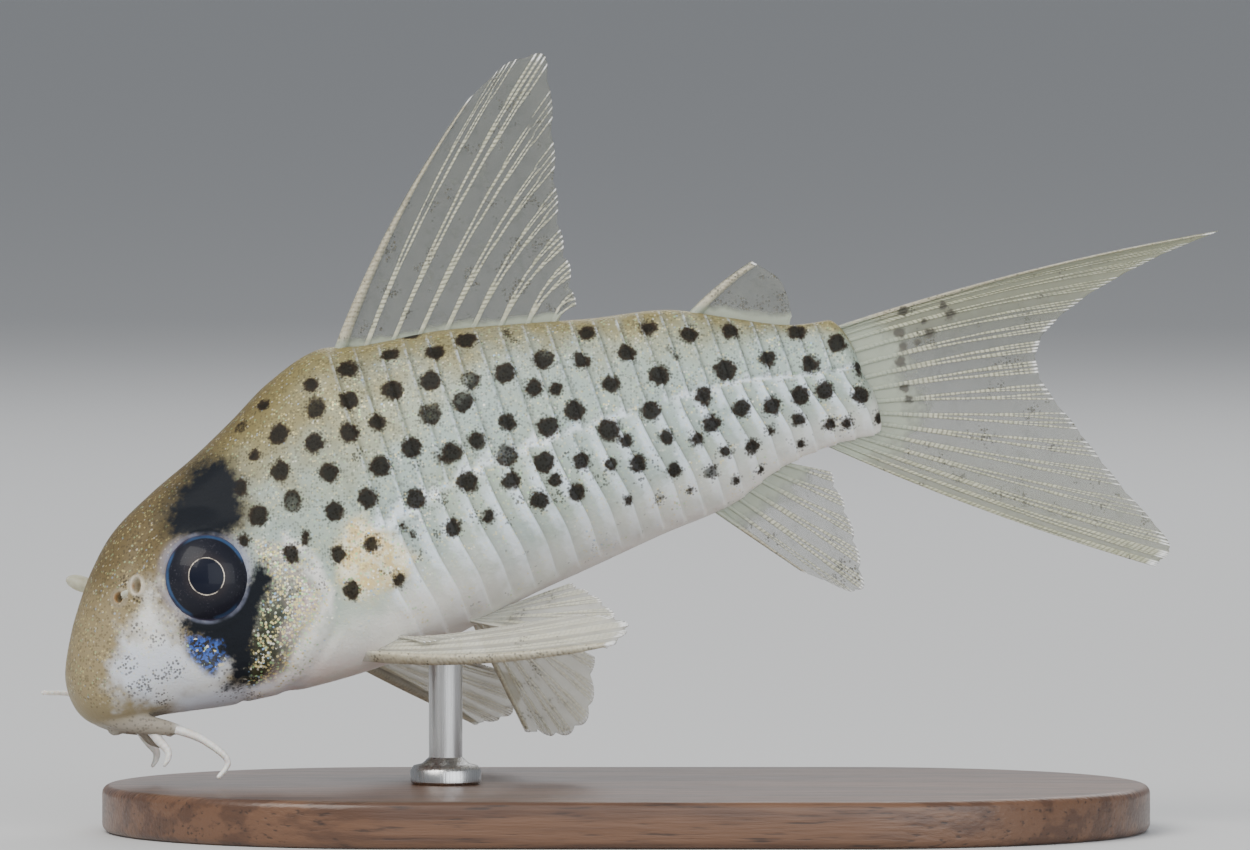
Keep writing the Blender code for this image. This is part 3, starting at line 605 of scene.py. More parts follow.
def extrude_ring(bm, edges):
    """Extrudes a loop of edges and returns the new points and edges."""
    made = bmesh.ops.extrude_edge_only(bm, edges=edges)["geom"]
    new_verts = {g for g in made if isinstance(g, bmesh.types.BMVert)}
    new_edges = [g for g in made if isinstance(g, bmesh.types.BMEdge)
                 and g.verts[0] in new_verts and g.verts[1] in new_verts]
    return new_verts, new_edges


def loft(bm, rings):
    """Joins rings of points into a closed skin, with its two ends filled."""
    count = len(rings[0])
    verts = bmesh.ops.create_circle(bm, segments=count, radius=1.0, cap_ends=False)["verts"]
    verts.sort(key=lambda v: math.atan2(v.co.y, v.co.x) % (2 * math.pi))
    ring_edges = [e for e in bm.edges if e.verts[0] in verts and e.verts[1] in verts]
    first_edges = ring_edges
    for vert, point in zip(verts, rings[0]):
        vert.co = point
    for ring in rings[1:]:
        made, ring_edges = extrude_ring(bm, ring_edges)
        following = []
        for vert, point in zip(verts, ring):
            new = next(e.other_vert(vert) for e in vert.link_edges if e.other_vert(vert) in made)
            new.co = point
            following.append(new)
        verts = following
    bmesh.ops.contextual_create(bm, geom=first_edges)
    bmesh.ops.contextual_create(bm, geom=ring_edges)
    bmesh.ops.triangulate(bm, faces=[f for f in bm.faces if len(f.verts) > 4])


def tube_rings(points, radii, sides, flat=1.0):
    """Rings round a line of points, in the fish's frame; flat narrows them across the line's own side."""
    rings = []
    across = Vector((0, 0, 1))
    for i, (point, radius) in enumerate(zip(points, radii)):
        ahead = (points[min(i + 1, len(points) - 1)] - points[max(i - 1, 0)]).normalized()
        across = (across - ahead * across.dot(ahead)).normalized()
        third = ahead.cross(across)
        turns = [2 * math.pi * k / sides for k in range(sides)]
        rings.append([point + across * radius * math.cos(a) + third * radius * flat * math.sin(a)
                      for a in turns])
    return rings


def rounded(radii):
    """Lets a tube's radii run out at its far end."""
    return radii + [radii[-1] * 0.8, radii[-1] * 0.35]


def tube(route, radius_at, sides=16, steps=48, flat=1.0):
    """A closed tube along a smooth route, its radius read from the share of the way, with a round far end."""
    points = [evenly(route, share) for share in shares(steps)]
    radii = [radius_at(share) for share in shares(steps)]
    ahead = (points[-1] - points[-2]).normalized()
    points += [points[-1] + ahead * radii[-1] * 0.5, points[-1] + ahead * radii[-1] * 0.9]
    bm = bmesh.new()
    loft(bm, tube_rings(points, rounded(radii), sides, flat))
    return bm


def marks_on(bm, *names):
    """Adds numbers that are kept on each point, for the material to read."""
    return {name: bm.verts.layers.float.new(name) for name in names}


def sheet(columns, rows):
    """A closed, flat sheet from -1 to 1, with the height that parts its two faces."""
    bm = bmesh.new()
    bmesh.ops.create_grid(bm, x_segments=columns, y_segments=rows, size=1.0)
    bmesh.ops.triangulate(bm, faces=bm.faces, quad_method="FIXED")
    bmesh.ops.solidify(bm, geom=bm.faces, thickness=1.0)
    return bm, sum(v.co.z for v in bm.verts) / len(bm.verts)


def set_pose(bm):
    for vert in bm.verts:
        vert.co = pose(vert.co)


def boolean_union(bm, pieces):
    """Joins closed pieces to a closed skin; all are freed, and the joined skin is returned."""
    scene = bpy.context.scene
    group = bpy.data.collections.new("pieces")
    scene.collection.children.link(group)
    for piece in pieces:
        face_outwards(piece)
        mesh = bpy.data.meshes.new("piece")
        piece.to_mesh(mesh)
        piece.free()
        group.objects.link(bpy.data.objects.new("piece", mesh))
    mesh = bpy.data.meshes.new("whole")
    bm.to_mesh(mesh)
    bm.free()
    whole = bpy.data.objects.new("whole", mesh)
    scene.collection.objects.link(whole)
    step = whole.modifiers.new("join", "BOOLEAN")
    step.operation = "UNION"
    step.operand_type = "COLLECTION"
    step.collection = group
    step.solver = "EXACT"
    bpy.context.view_layer.update()
    made = bpy.data.meshes.new_from_object(whole.evaluated_get(bpy.context.evaluated_depsgraph_get()))
    joined = bmesh.new()
    joined.from_mesh(made)
    for thing in [*group.objects, whole]:
        bpy.data.objects.remove(thing, do_unlink=True)
    bpy.data.collections.remove(group)
    bpy.data.meshes.remove(made)
    return joined


# Materials

class Finish:
    """A material in the making: each call adds a node and returns its output."""

    def __init__(self, name, **inputs):
        self.material = bpy.data.materials.new(name)
        self.material.use_nodes = True
        self.tree = self.material.node_tree
        self.shader = next(n for n in self.tree.nodes if n.type == "BSDF_PRINCIPLED")
        for key, value in inputs.items():
            self.put(key.replace("_", " "), value)

    def node(self, kind, feeds, **settings):
        """Adds a node, sets its properties and feeds its inputs."""
        made = self.tree.nodes.new(kind)
        for name, value in settings.items():
            setattr(made, name, value)
        for key, source in feeds.items():
            self.feed(made.inputs[key], source)
        return made.outputs

    def feed(self, socket, source):
        if isinstance(source, bpy.types.NodeSocket):
            self.tree.links.new(source, socket)
        elif socket.type == "RGBA" and len(source) == 3:
            socket.default_value = (*source, 1.0)
        else:
            socket.default_value = source

    def put(self, name, source):
        names = {s.name.lower(): s for s in self.shader.inputs}
        self.feed(names[name.lower()], source)

    def attribute(self, name):
        return self.node("ShaderNodeAttribute", {}, attribute_name=name)["Fac"]

    def place(self, stretch=(1.0, 1.0, 1.0)):
        """The point on the piece, in millimetres, stretched along the axes."""
        point = self.node("ShaderNodeTexCoord", {})["Object"]
        scale = [1.0 / (MM * s) for s in stretch]
        return self.node("ShaderNodeMapping", {"Vector": point, "Scale": scale})["Vector"]

    def noise(self, grain, detail=2.0, stretch=(1.0, 1.0, 1.0)):
        """Soft noise from 0 to 1, with grains of this size in millimetres."""
        feeds = {"Vector": self.place(stretch), "Scale": 1.0 / grain, "Detail": detail}
        return self.node("ShaderNodeTexNoise", feeds)["Fac"]

    def cells(self, grain):
        """Cells of this size: the distance from the cell's middle, and two random numbers for each cell."""
        made = self.node("ShaderNodeTexVoronoi", {"Vector": self.place(), "Scale": 1.0 / grain})
        number = self.node("ShaderNodeSeparateColor", {"Color": made["Color"]})
        return made["Distance"], number["Red"], number["Green"]

    def fade(self, value, low, high, top=1.0):
        """0 below low and top above high, with a smooth step between; high may be the lower of the two."""
        ends = (0.0, top) if low < high else (top, 0.0)
        feeds = {"Value": value, "From Min": min(low, high), "From Max": max(low, high), "To Min": ends[0],
                 "To Max": ends[1]}
        return self.node("ShaderNodeMapRange", feeds, interpolation_type="SMOOTHSTEP")["Result"]

    def sum(self, operation, a, b=0.0, c=0.0):
        return self.node("ShaderNodeMath", {0: a, 1: b, 2: c}, operation=operation)["Value"]

    def times(self, *values):
        return functools.reduce(lambda a, b: self.sum("MULTIPLY", a, b), values)

    def most(self, *values):
        """The largest of the values."""
        return functools.reduce(lambda a, b: self.sum("MAXIMUM", a, b), values)

    def plus(self, a, b, share=1.0):
        """a and a share of b."""
        return self.sum("MULTIPLY_ADD", b, share, a)

    def blend(self, share, a, b):
        """A colour between a and b."""
        return self.node("ShaderNodeMix", {0: share, 6: a, 7: b}, data_type="RGBA")[2]

    def paint(self, tint, *shares):
        """Lays a colour over the base colour so far, by the product of the shares."""
        self.base = self.blend(self.times(*shares), self.base, tint)

    def between(self, share, a, b):
        """A number between a and b."""
        return self.node("ShaderNodeMix", {0: share, 2: a, 3: b}, data_type="FLOAT")[0]

    def bump(self, height):
        """Raises the surface by a height in millimetres."""
        feeds = {"Strength": 1.0, "Distance": MM, "Height": height}
        self.put("Normal", self.node("ShaderNodeBump", feeds)["Normal"])

    def done(self):
        """Puts the base colour in place and gives the material."""
        self.put("Base Color", self.base)
        return self.material


def skin_finish(settings):
    """Plates, head and belly: one skin, its regions read from the distances kept on its points."""
    look = Finish("catfish_skin", subsurface_weight=0.10, subsurface_radius=(0.9, 0.55, 0.4),
                  subsurface_scale=0.5 * MM, coat_weight=0.04, coat_roughness=0.20, ior=1.40,
                  specular_ior_level=0.25)
    fade, times, plus, most, blend = look.fade, look.times, look.plus, look.most, look.blend
    between, paint, noise, read, maths = look.between, look.paint, look.noise, look.attribute, look.sum
    turn, along, up = read("turn"), read("along"), read("up")
    rise, cover, mark = read("rise"), read("cover"), read("mask")
    wide, soft, fine = noise(4.0, 2.0), noise(1.5, 3.0), noise(0.35, 3.0)
    wobble, ragged = maths("SUBTRACT", soft, 0.5), maths("SUBTRACT", fine, 0.5)

    def worn(value, share, low, high, top=1.0):
        """A fade whose edge wanders with the soft noise."""
        return fade(plus(value, wobble, share), low, high, top)

    glint_distance, glint, hue = look.cells(0.13)
    dot_distance, dot, _ = look.cells(0.145)

    # Flank, back and belly
    height = plus(plus(turn, wobble, 0.20), maths("SUBTRACT", wide, 0.5), 0.30)
    look.base = blend(fade(wide, 0.40, 0.65, 0.6), settings.flank, FLANK_BLUE)
    paint(settings.back, fade(height, 0.36, 0.04))
    lower = times(fade(turn, 0.40, 0.50), cover)
    # Painted shade in the drop behind each plate's rear edge, where the step hides the light
    paint(PLATE_STEP_SHADE, fade(rise, 0.30, 0.02), cover, 0.45)
    paint(settings.band, fade(rise, 0.84, 0.97), cover, fade(fine, 0.30, 0.70, 0.60))
    stripe = times(fade(plus(rise, ragged, 0.5), 0.38, 0.80), lower)
    paint(settings.band, stripe, fade(soft, 0.25, 0.55), 0.80)
    seam = times(fade(plus(read("lateral"), ragged, 0.03), 0.034, 0.006), cover)
    paint(SEAM_WHITE, seam, fade(soft, 0.30, 0.55), 0.85)
    paint(settings.belly, worn(turn, 0.16, 0.56, 0.78, 0.55))
    paint(settings.belly, worn(turn, 0.12, 0.78, 0.92))
    paint(settings.belly, worn(turn, 0.16, 0.47, 0.66), fade(along, 27.0, 17.0), 0.80)

    # Head: tan snout, brown forehead and nape, lilac cheek
    nape = times(fade(along, 24.0, 12.0), fade(height, 0.42, 0.16))
    paint(settings.back, nape, 0.75)
    paint(settings.forehead, fade(along, 19.0, 12.0), fade(turn, 0.22, 0.03), 0.8)
    head = worn(along, 3.0, 11.6, 8.6)
    paint(settings.snout, head, most(fade(turn, 0.90, 0.80), fade(along, 4.4, 3.2)))
    brow = worn(up, 3.5, 0.2, 4.6)
    paint(settings.forehead, brow, head, 0.9)
    cheek = fade(plus(plus(read("cheek"), wobble, 3.4), ragged, 1.0), 0.55, -1.3)
    pearl = blend(fade(wide, 0.35, 0.65), settings.cheek, CHEEK_PEARL)
    paint(pearl, cheek, 0.92)
    paint(settings.cheek, fade(along, 12.5, 10.0), fade(turn, 0.68, 0.80), fade(along, 3.6, 5.2))
    lips = times(worn(up, 0.6, -4.0, -4.7), fade(along, 4.6, 3.7))
    paint(LIP_GREY, lips)
    flush = times(fade(along, 7.0, 12.0), fade(along, 17.5, 14.0), fade(turn, 0.62, 0.74))
    paint(THROAT_ROSE, flush, fade(soft, 0.30, 0.60), 0.40)

    # Gill cover, its pale border, partly a painted highlight, and the shoulder
    gleam = blend(fade(hue, 0.42, 0.56), GLEAM_GOLD, GLEAM_GREEN)
    gleam = blend(fade(hue, 0.64, 0.76), gleam, GLEAM_CREAM)
    gleam = blend(fade(hue, 0.93, 0.96), gleam, GLEAM_BLUE)
    gill = worn(read("gill"), 1.3, 0.35, -0.30)
    dusk = times(worn(mark, 2.8, 2.9, 0.9), between(fade(up, 0.8, -2.0), 0.45, 1.0))
    plate = blend(fade(soft, 0.42, 0.62), GILL_PEARL, GILL_ROSE)
    plate = blend(dusk, plate, GILL_DARK)
    lit = times(fade(plus(glint, dusk, -0.34), 0.14, 0.40, 0.92), fade(glint_distance, 0.72, 0.50))
    plate = blend(lit, plate, gleam)
    paint(plate, gill, 0.92)
    # The gill's rear border: pale pearly skin, brightened as a painted highlight along its raised edge
    border = worn(read("slit"), 1.1, 0.30, -0.20)
    paint(SLIT_PEARL_AND_HIGHLIGHT, border, fade(soft, 0.25, 0.6), 0.85)
    shield = worn(read("shield"), 2.2, 0.35, -0.65)
    warm = blend(fade(noise(0.55, 4.0), 0.40, 0.60), settings.shield, SHIELD_PALE)
    warm = blend(times(fade(glint, 0.50, 0.66, 0.75), fade(glint_distance, 0.66, 0.46)), warm, gleam)
    paint(warm, shield, between(fade(soft, 0.3, 0.6), 0.70, 0.95))

    # Gleaming flecks of gold, green and blue
    where = most(gill, times(shield, 0.85), times(nape, 0.30), times(head, brow, 0.22),
                 times(cover, fade(soft, 0.46, 0.66), 0.60), times(border, 0.80), times(seam, 0.7),
                 fade(turn, 0.74, 0.50, 0.28))
    sparkle = times(fade(glint, 0.78, 0.82), fade(glint_distance, 0.62, 0.44), where)
    paint(gleam, sparkle)
    blue = worn(read("blue"), 1.2, 0.34, -0.26)
    blue_tint = blend(fade(glint, 0.30, 0.70), settings.mask, settings.blue)
    paint(blend(fade(glint, 0.92, 0.96), blue_tint, gleam), blue, 0.9)

    # Dark flecks, each a pigment cell, thickest round the spots and the mask
    spot_distance = read("spot")
    dots = fade(dot_distance, 0.60, 0.42)
    crowd = most(times(worn(read("fleck"), 0.8, 0.30, -0.30), 0.80), fade(spot_distance, 0.36, -0.02, 0.70),
                 worn(mark, 1.0, 1.2, 0.0, 0.50))
    strength = between(crowd, 0.34, 0.85)
    skin_dots = times(fade(turn, 0.78, 0.50), fade(cheek, 1.0, 0.2), 0.42)
    crowd = most(crowd, times(skin_dots, most(head, fade(turn, 0.52, 0.40))),
                 times(most(nape, times(brow, head)), 0.34),
                 times(cover, fade(noise(0.7, 2.0), 0.60, 0.70), 0.40), times(lips, 0.30))
    chance = maths("GREATER_THAN", maths("ADD", dot, crowd), 1.0)
    paint(FLECK_BROWN, dots, chance, strength)

    # The dark mask and the round spots
    eye = read("eye")
    paint(LID_LILAC, fade(eye, 3.0, 2.5), fade(soft, 0.25, 0.6), 0.45)
    paint(BROW_SHADE, worn(mark, 1.8, 1.5, -0.1), fade(up, 1.5, 4.0), 0.70)
    mask = fade(plus(plus(mark, wobble, 1.0), ragged, 1.1), 0.42, -0.26)
    edge = plus(plus(spot_distance, wobble, 0.34), ragged, 0.50)
    spot = fade(edge, 0.10, -0.12)
    ink = blend(fade(edge, -0.26, -0.04, 0.60), settings.spot, SPOT_BROWN)
    paint(ink, spot, fade(noise(2.4), 0.05, 0.40, 0.97))
    paint(settings.mask, mask)
    paint(LID_EDGE, fade(eye, 2.56, 2.38), fade(soft, 0.35, 0.65), 0.40)
    nostril = read("nostril")
    paint(NOSTRIL_RIM, worn(read("rear_nostril"), 0.4, 0.62, 0.42, 0.55))
    paint(NOSTRIL_SKIN, fade(nostril, 0.66, 0.46), 0.18)
    paint(NOSTRIL_INSIDE, fade(nostril, 0.36, 0.20), 0.9)

    dark = most(spot, mask)
    shine = most(times(sparkle, 0.9), times(most(gill, blue), 0.35), times(cover, 0.16))
    look.put("Metallic", times(shine, maths("SUBTRACT", 1.0, dark)))
    look.put("Roughness", between(dark, between(fine, 0.34, 0.50), 0.85))

    # Fine relief: the plates' grain, and pores on the head
    pores = times(fade(dot_distance, 0.0, 0.4), maths("SUBTRACT", 1.0, cover), 0.010)
    grain = times(noise(0.16, 3.0), 0.030)
    look.bump(maths("ADD", pores, plus(grain, noise(0.9, 3.0), 0.05)))
    return look.done()


def eye_finish(settings, name):
    """Iris, pupil and their rings, from the distance to the eye's axis, under a clear wet coat."""
    look = Finish(name, roughness=0.45, specular_ior_level=0.15, coat_weight=0.20, coat_roughness=0.04,
                  coat_ior=1.40)
    fade, times, plus, most, blend = look.fade, look.times, look.plus, look.most, look.blend
    paint, noise, read, maths = look.paint, look.noise, look.attribute, look.sum
    off = read("off")
    pupil = settings.pupil / MM
    grain = noise(0.10, 3.0)
    fleck = times(fade(grain, 0.56, 0.74), fade(noise(0.8, 2.0), 0.35, 0.65))
    look.base = blend(times(fleck, 0.40), settings.iris, IRIS_FLECK)
    glow = times(fade(off, pupil + 0.55, pupil + 0.05), 0.35)
    paint(IRIS_INNER, glow)
    rim = times(fade(off, 2.06, 2.17), fade(off, 2.32, 2.24), fade(noise(1.6), 0.40, 0.62))
    paint(settings.rim, rim, 0.5)
    paint(IRIS_EDGE, fade(off, 2.20, 2.32, 0.5))
    jitter = plus(off, maths("SUBTRACT", grain, 0.5), 0.06)
    ring = times(fade(jitter, pupil - 0.01, pupil + 0.02), fade(jitter, pupil + 0.065, pupil + 0.035))
    ring = times(ring, fade(noise(0.45, 3.0), 0.32, 0.58))
    paint(settings.ring, ring)
    paint(PUPIL_BLACK, fade(off, pupil + 0.01, pupil - 0.04))
    look.put("Metallic", times(most(ring, rim), 0.6))
    return look.done()


def fin_finish(settings):
    """Clear web between jointed, cream rays, with a tan, speckled leading ray."""
    look = Finish("clear_fin", roughness=0.36, coat_weight=0.20, coat_roughness=0.2, ior=1.40,
                  subsurface_weight=0.35, subsurface_radius=(1.0, 0.9, 0.7), subsurface_scale=0.5 * MM)
    fade, times, plus, most, blend = look.fade, look.times, look.plus, look.most, look.blend
    between, paint, noise, read, maths = look.between, look.paint, look.noise, look.attribute, look.sum
    ray, reach, lead, dense, pale = (read(name) for name in ("ray", "reach", "lead", "dense", "pale"))
    soft = noise(0.9, 3.0)
    beat = maths("FRACT", maths("DIVIDE", plus(reach, soft, 0.10), 0.27))
    joint = times(fade(beat, 0.50, 0.66), fade(beat, 1.0, 0.88), fade(reach, 0.8, 2.0))
    rib = fade(ray, 0.0, 0.85, 0.82)
    tint = blend(fade(noise(0.25, 2.0), 0.40, 0.65, 0.6), settings.ray, RAY_OLIVE)
    tint = blend(times(joint, 0.75), tint, RAY_JOINT)
    tint = blend(times(dense, 0.45), tint, RAY_FOLDED)
    tint = blend(times(pale, 0.85), tint, RAY_MILKY)
    speck_distance, speck, _ = look.cells(0.15)
    specks = times(fade(speck_distance, 0.58, 0.40), maths("GREATER_THAN", speck, 0.55))
    blotch = fade(noise(0.8, 2.0), 0.48, 0.60)
    lead_tint = blend(fade(noise(0.35, 3.0), 0.40, 0.70, 0.55), settings.spine, SPINE_PALE)
    lead_tint = blend(times(specks, between(blotch, 0.30, 0.85)), lead_tint, SPINE_SPECK)
    tint = blend(times(lead, 0.85), tint, lead_tint)
    web = blend(fade(soft, 0.3, 0.8), settings.web, [c * 0.7 for c in settings.web])
    web = blend(dense, web, WEB_FOLDED)
    web = blend(pale, web, WEB_MILKY)
    dark = times(specks, fade(noise(1.1, 2.0), 0.56, 0.66), 0.75)
    look.base = blend(most(rib, lead), web, tint)
    paint(WEB_SPECK, dark, maths("SUBTRACT", 1.0, lead))
    foot = fade(plus(read("foot"), soft, 0.8), 0.42, 0.95)
    flesh = blend(pale, FOOT_SILVER, FOOT_MILKY)
    paint(flesh, foot, 0.85)
    spot = fade(plus(read("spot"), maths("SUBTRACT", noise(0.3), 0.5), 0.5), 0.12, -0.08, 0.85)
    paint(FIN_SPOT, spot)
    tip = times(fade(read("tip"), 0.965, 0.985), fade(ray, 0.2, 0.7))
    paint(RAY_TIP, tip)

    rib = times(rib, between(pale, 0.92, 0.55))
    solid = most(rib, times(foot, 0.9), dark, lead, spot, tip)
    thin = plus(between(dense, settings.web_cover, 0.80), pale, 0.26)
    look.put("Alpha", between(solid, thin, 0.95))
    look.bump(plus(times(joint, rib, -0.03), noise(0.2, 3.0), 0.012))
    return look.done()


def feeler_finish(settings):
    look = Finish("feeler_skin", subsurface_weight=0.35, subsurface_radius=(1.0, 0.7, 0.5),
                  subsurface_scale=0.3 * MM, coat_weight=0.4, coat_roughness=0.15, ior=1.42, roughness=0.36)
    soft = look.noise(0.5, 3.0)
    look.base = look.blend(look.fade(soft, 0.35, 0.75, 0.5), settings.feeler, FEELER_SHADE)
    rings = look.sum("SINE", look.times(look.attribute("reach"), 26.0))
    look.bump(look.plus(look.times(rings, 0.006), soft, 0.03))
    return look.done()


def flap_finish(settings):
    """Thin, half clear skin."""
    look = Finish("flap_skin", subsurface_weight=0.30, subsurface_radius=(1.0, 0.8, 0.5),
                  subsurface_scale=0.3 * MM, coat_weight=0.2, coat_roughness=0.2, ior=1.40, roughness=0.40)
    soft = look.noise(0.4, 3.0)
    look.base = look.blend(look.fade(soft, 0.35, 0.70, 0.35), FLAP_PALE, settings.snout)
    look.put("Alpha", look.between(look.attribute("reach"), 1.0, 0.62))
    look.bump(look.times(soft, 0.02))
    return look.done()


def wood_finish(settings):
    """Dark stained wood under satin varnish, its grain along the base."""
    look = Finish("wood_varnish", coat_weight=0.30, coat_roughness=0.22, ior=1.48)
    figure = look.noise(1.6, 3.0, stretch=(18.0, 1.0, 1.0))
    pores = look.noise(0.22, 3.0, stretch=(14.0, 1.0, 1.0))
    waves = look.sum("SINE", look.times(look.plus(look.times(figure, 5.0), pores, 0.8), 3.2))
    look.base = look.blend(look.fade(waves, -0.8, 1.0, 0.50), settings.wood, settings.grain)
    look.paint(WOOD_PORE, look.fade(pores, 0.58, 0.72, 0.75))
    look.put("Roughness", look.between(pores, 0.30, 0.52))
    look.bump(look.plus(look.times(pores, -0.05), figure, 0.02))
    return look.done()


def steel_finish(settings):
    look = Finish("rod_steel", metallic=1.0, anisotropic=0.4)
    lines = look.noise(0.09, 2.0, stretch=(1.0, 1.0, 40.0))
    look.base = look.blend(lines, settings.steel, [c * 0.75 for c in settings.steel])
    look.put("Roughness", look.between(lines, 0.20, 0.38))
    look.bump(look.times(lines, 0.010))
    return look.done()


# The skin

def plate_stations():
    """Places along the body for the skin's rings, each with its place within its plate."""
    stations = [(PLATE_START * (i / HEAD_RINGS) ** 1.35, 0.0) for i in range(HEAD_RINGS)]
    front = PLATE_START
    for plate in range(PLATE_COUNT):
        pitch = PLATE_PITCH - PLATE_SHRINK * plate
        for share in RINGS_A_PLATE:
            at = front + pitch * share
            if at < TAIL_END - 0.05:
                stations.append((at, plate + share))
        front += pitch
    return stations


def lean(at, turn):
    """How far a plate's edge leans back on the lower row; rings in front of the plates lean less and less."""
    split = curve(PLATE_LINE, at)
    return PLATE_LEAN * smoothstep(split, split + 0.28, turn) * smoothstep(11.0, PLATE_START, at)


def plate_rise(phase):
    """A plate's height over the next one's front edge, from 0 to 1, at a place within it."""
    share = phase % 1.0
    return share / (1.0 - PLATE_DROP) if share <= 1.0 - PLATE_DROP else (1.0 - share) / PLATE_DROP


def plate_cover(at, turn):
    """How fully the plates cover the body: none on the head, along the back's ridge or on the belly."""
    belly = 0.80 + 0.12 * smoothstep(28.0, 38.0, at)
    start = smoothstep(PLATE_START - 0.3, PLATE_START + 0.4, at)
    return start * smoothstep(0.0, 0.13, turn) * (1.0 - smoothstep(belly, belly + 0.10, turn))


def skin_grid():
    """The skin as one closed grid of points, each with its station, phase and turn round the body."""
    stations = plate_stations()
    columns = 2 * (COLUMNS_ABOVE + COLUMNS_BELOW)
    rings = len(stations) + CLOSING_RINGS
    bm = bmesh.new()
    bmesh.ops.create_grid(bm, x_segments=rings - 1, y_segments=columns, size=1.0)
    layers = marks_on(bm, "station", "phase", "turn")
    for vert in bm.verts:
        i = round((vert.co.x + 1.0) / 2.0 * (rings - 1))
        j = round((vert.co.y + 1.0) / 2.0 * columns)
        at, phase = stations[min(i, len(stations) - 1)]
        side, j = (1, j) if j <= columns // 2 else (-1, columns - j)
        split = curve(PLATE_LINE, at) if at > 10.0 else PLATE_LINE[0][1]
        if j <= COLUMNS_ABOVE:
            turn = split * j / COLUMNS_ABOVE
        else:
            turn = split + (1.0 - split) * (j - COLUMNS_ABOVE) / COLUMNS_BELOW
        closing = max(i - len(stations) + 1, 0) / CLOSING_RINGS
        point = skin(min(at + lean(at, turn), SECTIONS[-1][0]), side * turn * math.pi)
        if closing:
            middle = skin(at, 0.0).lerp(skin(at, math.pi), 0.5)
            shrink = math.sqrt(max(1.0 - closing * closing, 0.0))
            point = middle + (point - middle) * shrink + Vector((CLOSING_LENGTH * closing, 0.0, 0.0))
        elif i == 0:
            point = skin(0.0, 0.0).lerp(skin(0.0, math.pi), 0.5)
        vert.co = point
        vert[layers["station"]] = at
        vert[layers["phase"]] = phase
        vert[layers["turn"]] = turn * side
    bmesh.ops.remove_doubles(bm, verts=bm.verts, dist=0.0005)
    face_outwards(bm)
    bm.normal_update()
    return bm, layers


def eye_place(side):
    spot, _ = on_side(EYE_PIXEL)
    axis = mirror_side(EYE_AXIS.normalized(), side)
    return mirror_side(spot, side) - axis * EYE_SINK, axis


def eyeball_height(off, radius):
    return EYE_DEPTH * math.sqrt(max(1.0 - (off / radius) ** 2, 0.0))


def shape_orbit(bm, side, radius):
    """Opens the skin round an eye: a soft rim that hugs the eyeball, and the skin under it out of sight."""
    middle, axis = eye_place(side)
    opening = EYE_OPENING * radius
    hug = eyeball_height(opening, radius)
    for vert in bm.verts:
        reach = vert.co - middle
        if reach.length > 2.6 * radius or reach.dot(axis) < -2.0:
            continue
        depth = reach.dot(axis)
        spread = reach - axis * depth
        off = spread.length
        if off < 1e-6:
            spread, off = frame_round(axis)[0] * 1e-3, 1e-3
        if opening - ORBIT_SNAP[0] < off < opening + ORBIT_SNAP[1]:
            spread *= opening / off
            off = opening
        if off < opening:
            depth = eyeball_height(off, radius) - ORBIT_SINK
        else:
            rise = 1.0 - smoothstep(opening, opening + ORBIT_SPREAD, off)
            lip = hug + LID_LIFT + LID_HEIGHT * math.sin(math.pi * min((off - opening) / LID_WIDTH, 1.0))
            depth = depth + (max(lip, depth) - depth) * rise
        vert.co = middle + spread + axis * depth


def plate_place(vert, layers):
    """A point's station, its turn, how far it is from the line between the rows, and its plate's rise."""
    at, turn = vert[layers["station"]], abs(vert[layers["turn"]])
    split = curve(PLATE_LINE, at)
    phase = vert[layers["phase"]] + (0.5 if turn > split + 0.004 else 0.0)
    return at, turn, abs(turn - split), plate_rise(phase)


def shape_relief(bm, layers, settings):
    """Raises the plates, the gill cover and the shoulder shield, and sinks the gill's slit."""
    gill, slit, shield = outline(GILL_COVER), outline(GILL_SLIT), outline(SHIELD)
    tall = settings.plate_height / MM
    moves = {}
    for vert in bm.verts:
        at, turn, aside, rise = plate_place(vert, layers)
        cover = plate_cover(at, turn)
        lift = tall * rise * cover
        groove = 1.0 - smoothstep(0.0, SEAM_WIDTH, aside)
        lift -= SEAM_DEPTH * groove * cover
        if at < 20.0:
            along, up = seen(vert.co)
            lift += GILL_HEIGHT * (1.0 - smoothstep(-1.2, 0.1, from_edge(gill, along, up)))
            border = from_edge(slit, along, up)
            ditch = math.exp(-((border - SLIT_OFFSET) / SLIT_WIDTH) ** 2)
            lift += BORDER_HEIGHT * (1.0 - smoothstep(-0.4, 0.2, border)) - SLIT_DEPTH * ditch
            lift += SHIELD_HEIGHT * (1.0 - smoothstep(-0.6, 0.2, from_edge(shield, along, up)))
        moves[vert] = vert.normal * lift
    for vert, move in moves.items():
        vert.co += move


def refine_near(bm, middles, reach):
    """Cuts the mesh finer within reach of some points."""
    edges = [e for e in bm.edges
             if any(((e.verts[0].co + e.verts[1].co) / 2 - m).length < reach for m in middles)]
    bmesh.ops.subdivide_edges(bm, edges=edges, cuts=2, use_grid_fill=True)


def shape_nostrils(bm):
    """A rimmed rear nostril and a fleshy front one on each side of the snout."""
    places = []
    for side in (1, -1):
        for pixel, wide, tall, rim in NOSTRILS:
            spot, normal = mirrored(on_side(pixel), side)
            places.append((spot, normal, wide, tall, rim))
    refine_near(bm, [p[0] for p in places], 1.1)
    face_outwards(bm)
    for spot, normal, wide, tall, rim in places:
        first, second, third = frame_round(normal)
        lean_axis = (second + first * 0.25).normalized()
        cross_axis = third.cross(lean_axis)
        for vert in bm.verts:
            reach = vert.co - spot
            if reach.length > 1.6:
                continue
            off = math.hypot(reach.dot(cross_axis) / wide, reach.dot(lean_axis) / tall)
            ridge = rim * math.exp(-((off - 1.25) / 0.34) ** 2)
            pit = PIT_DEPTH * (1.0 - smoothstep(0.35, 1.05, off))
            vert.co += third * (ridge - pit)


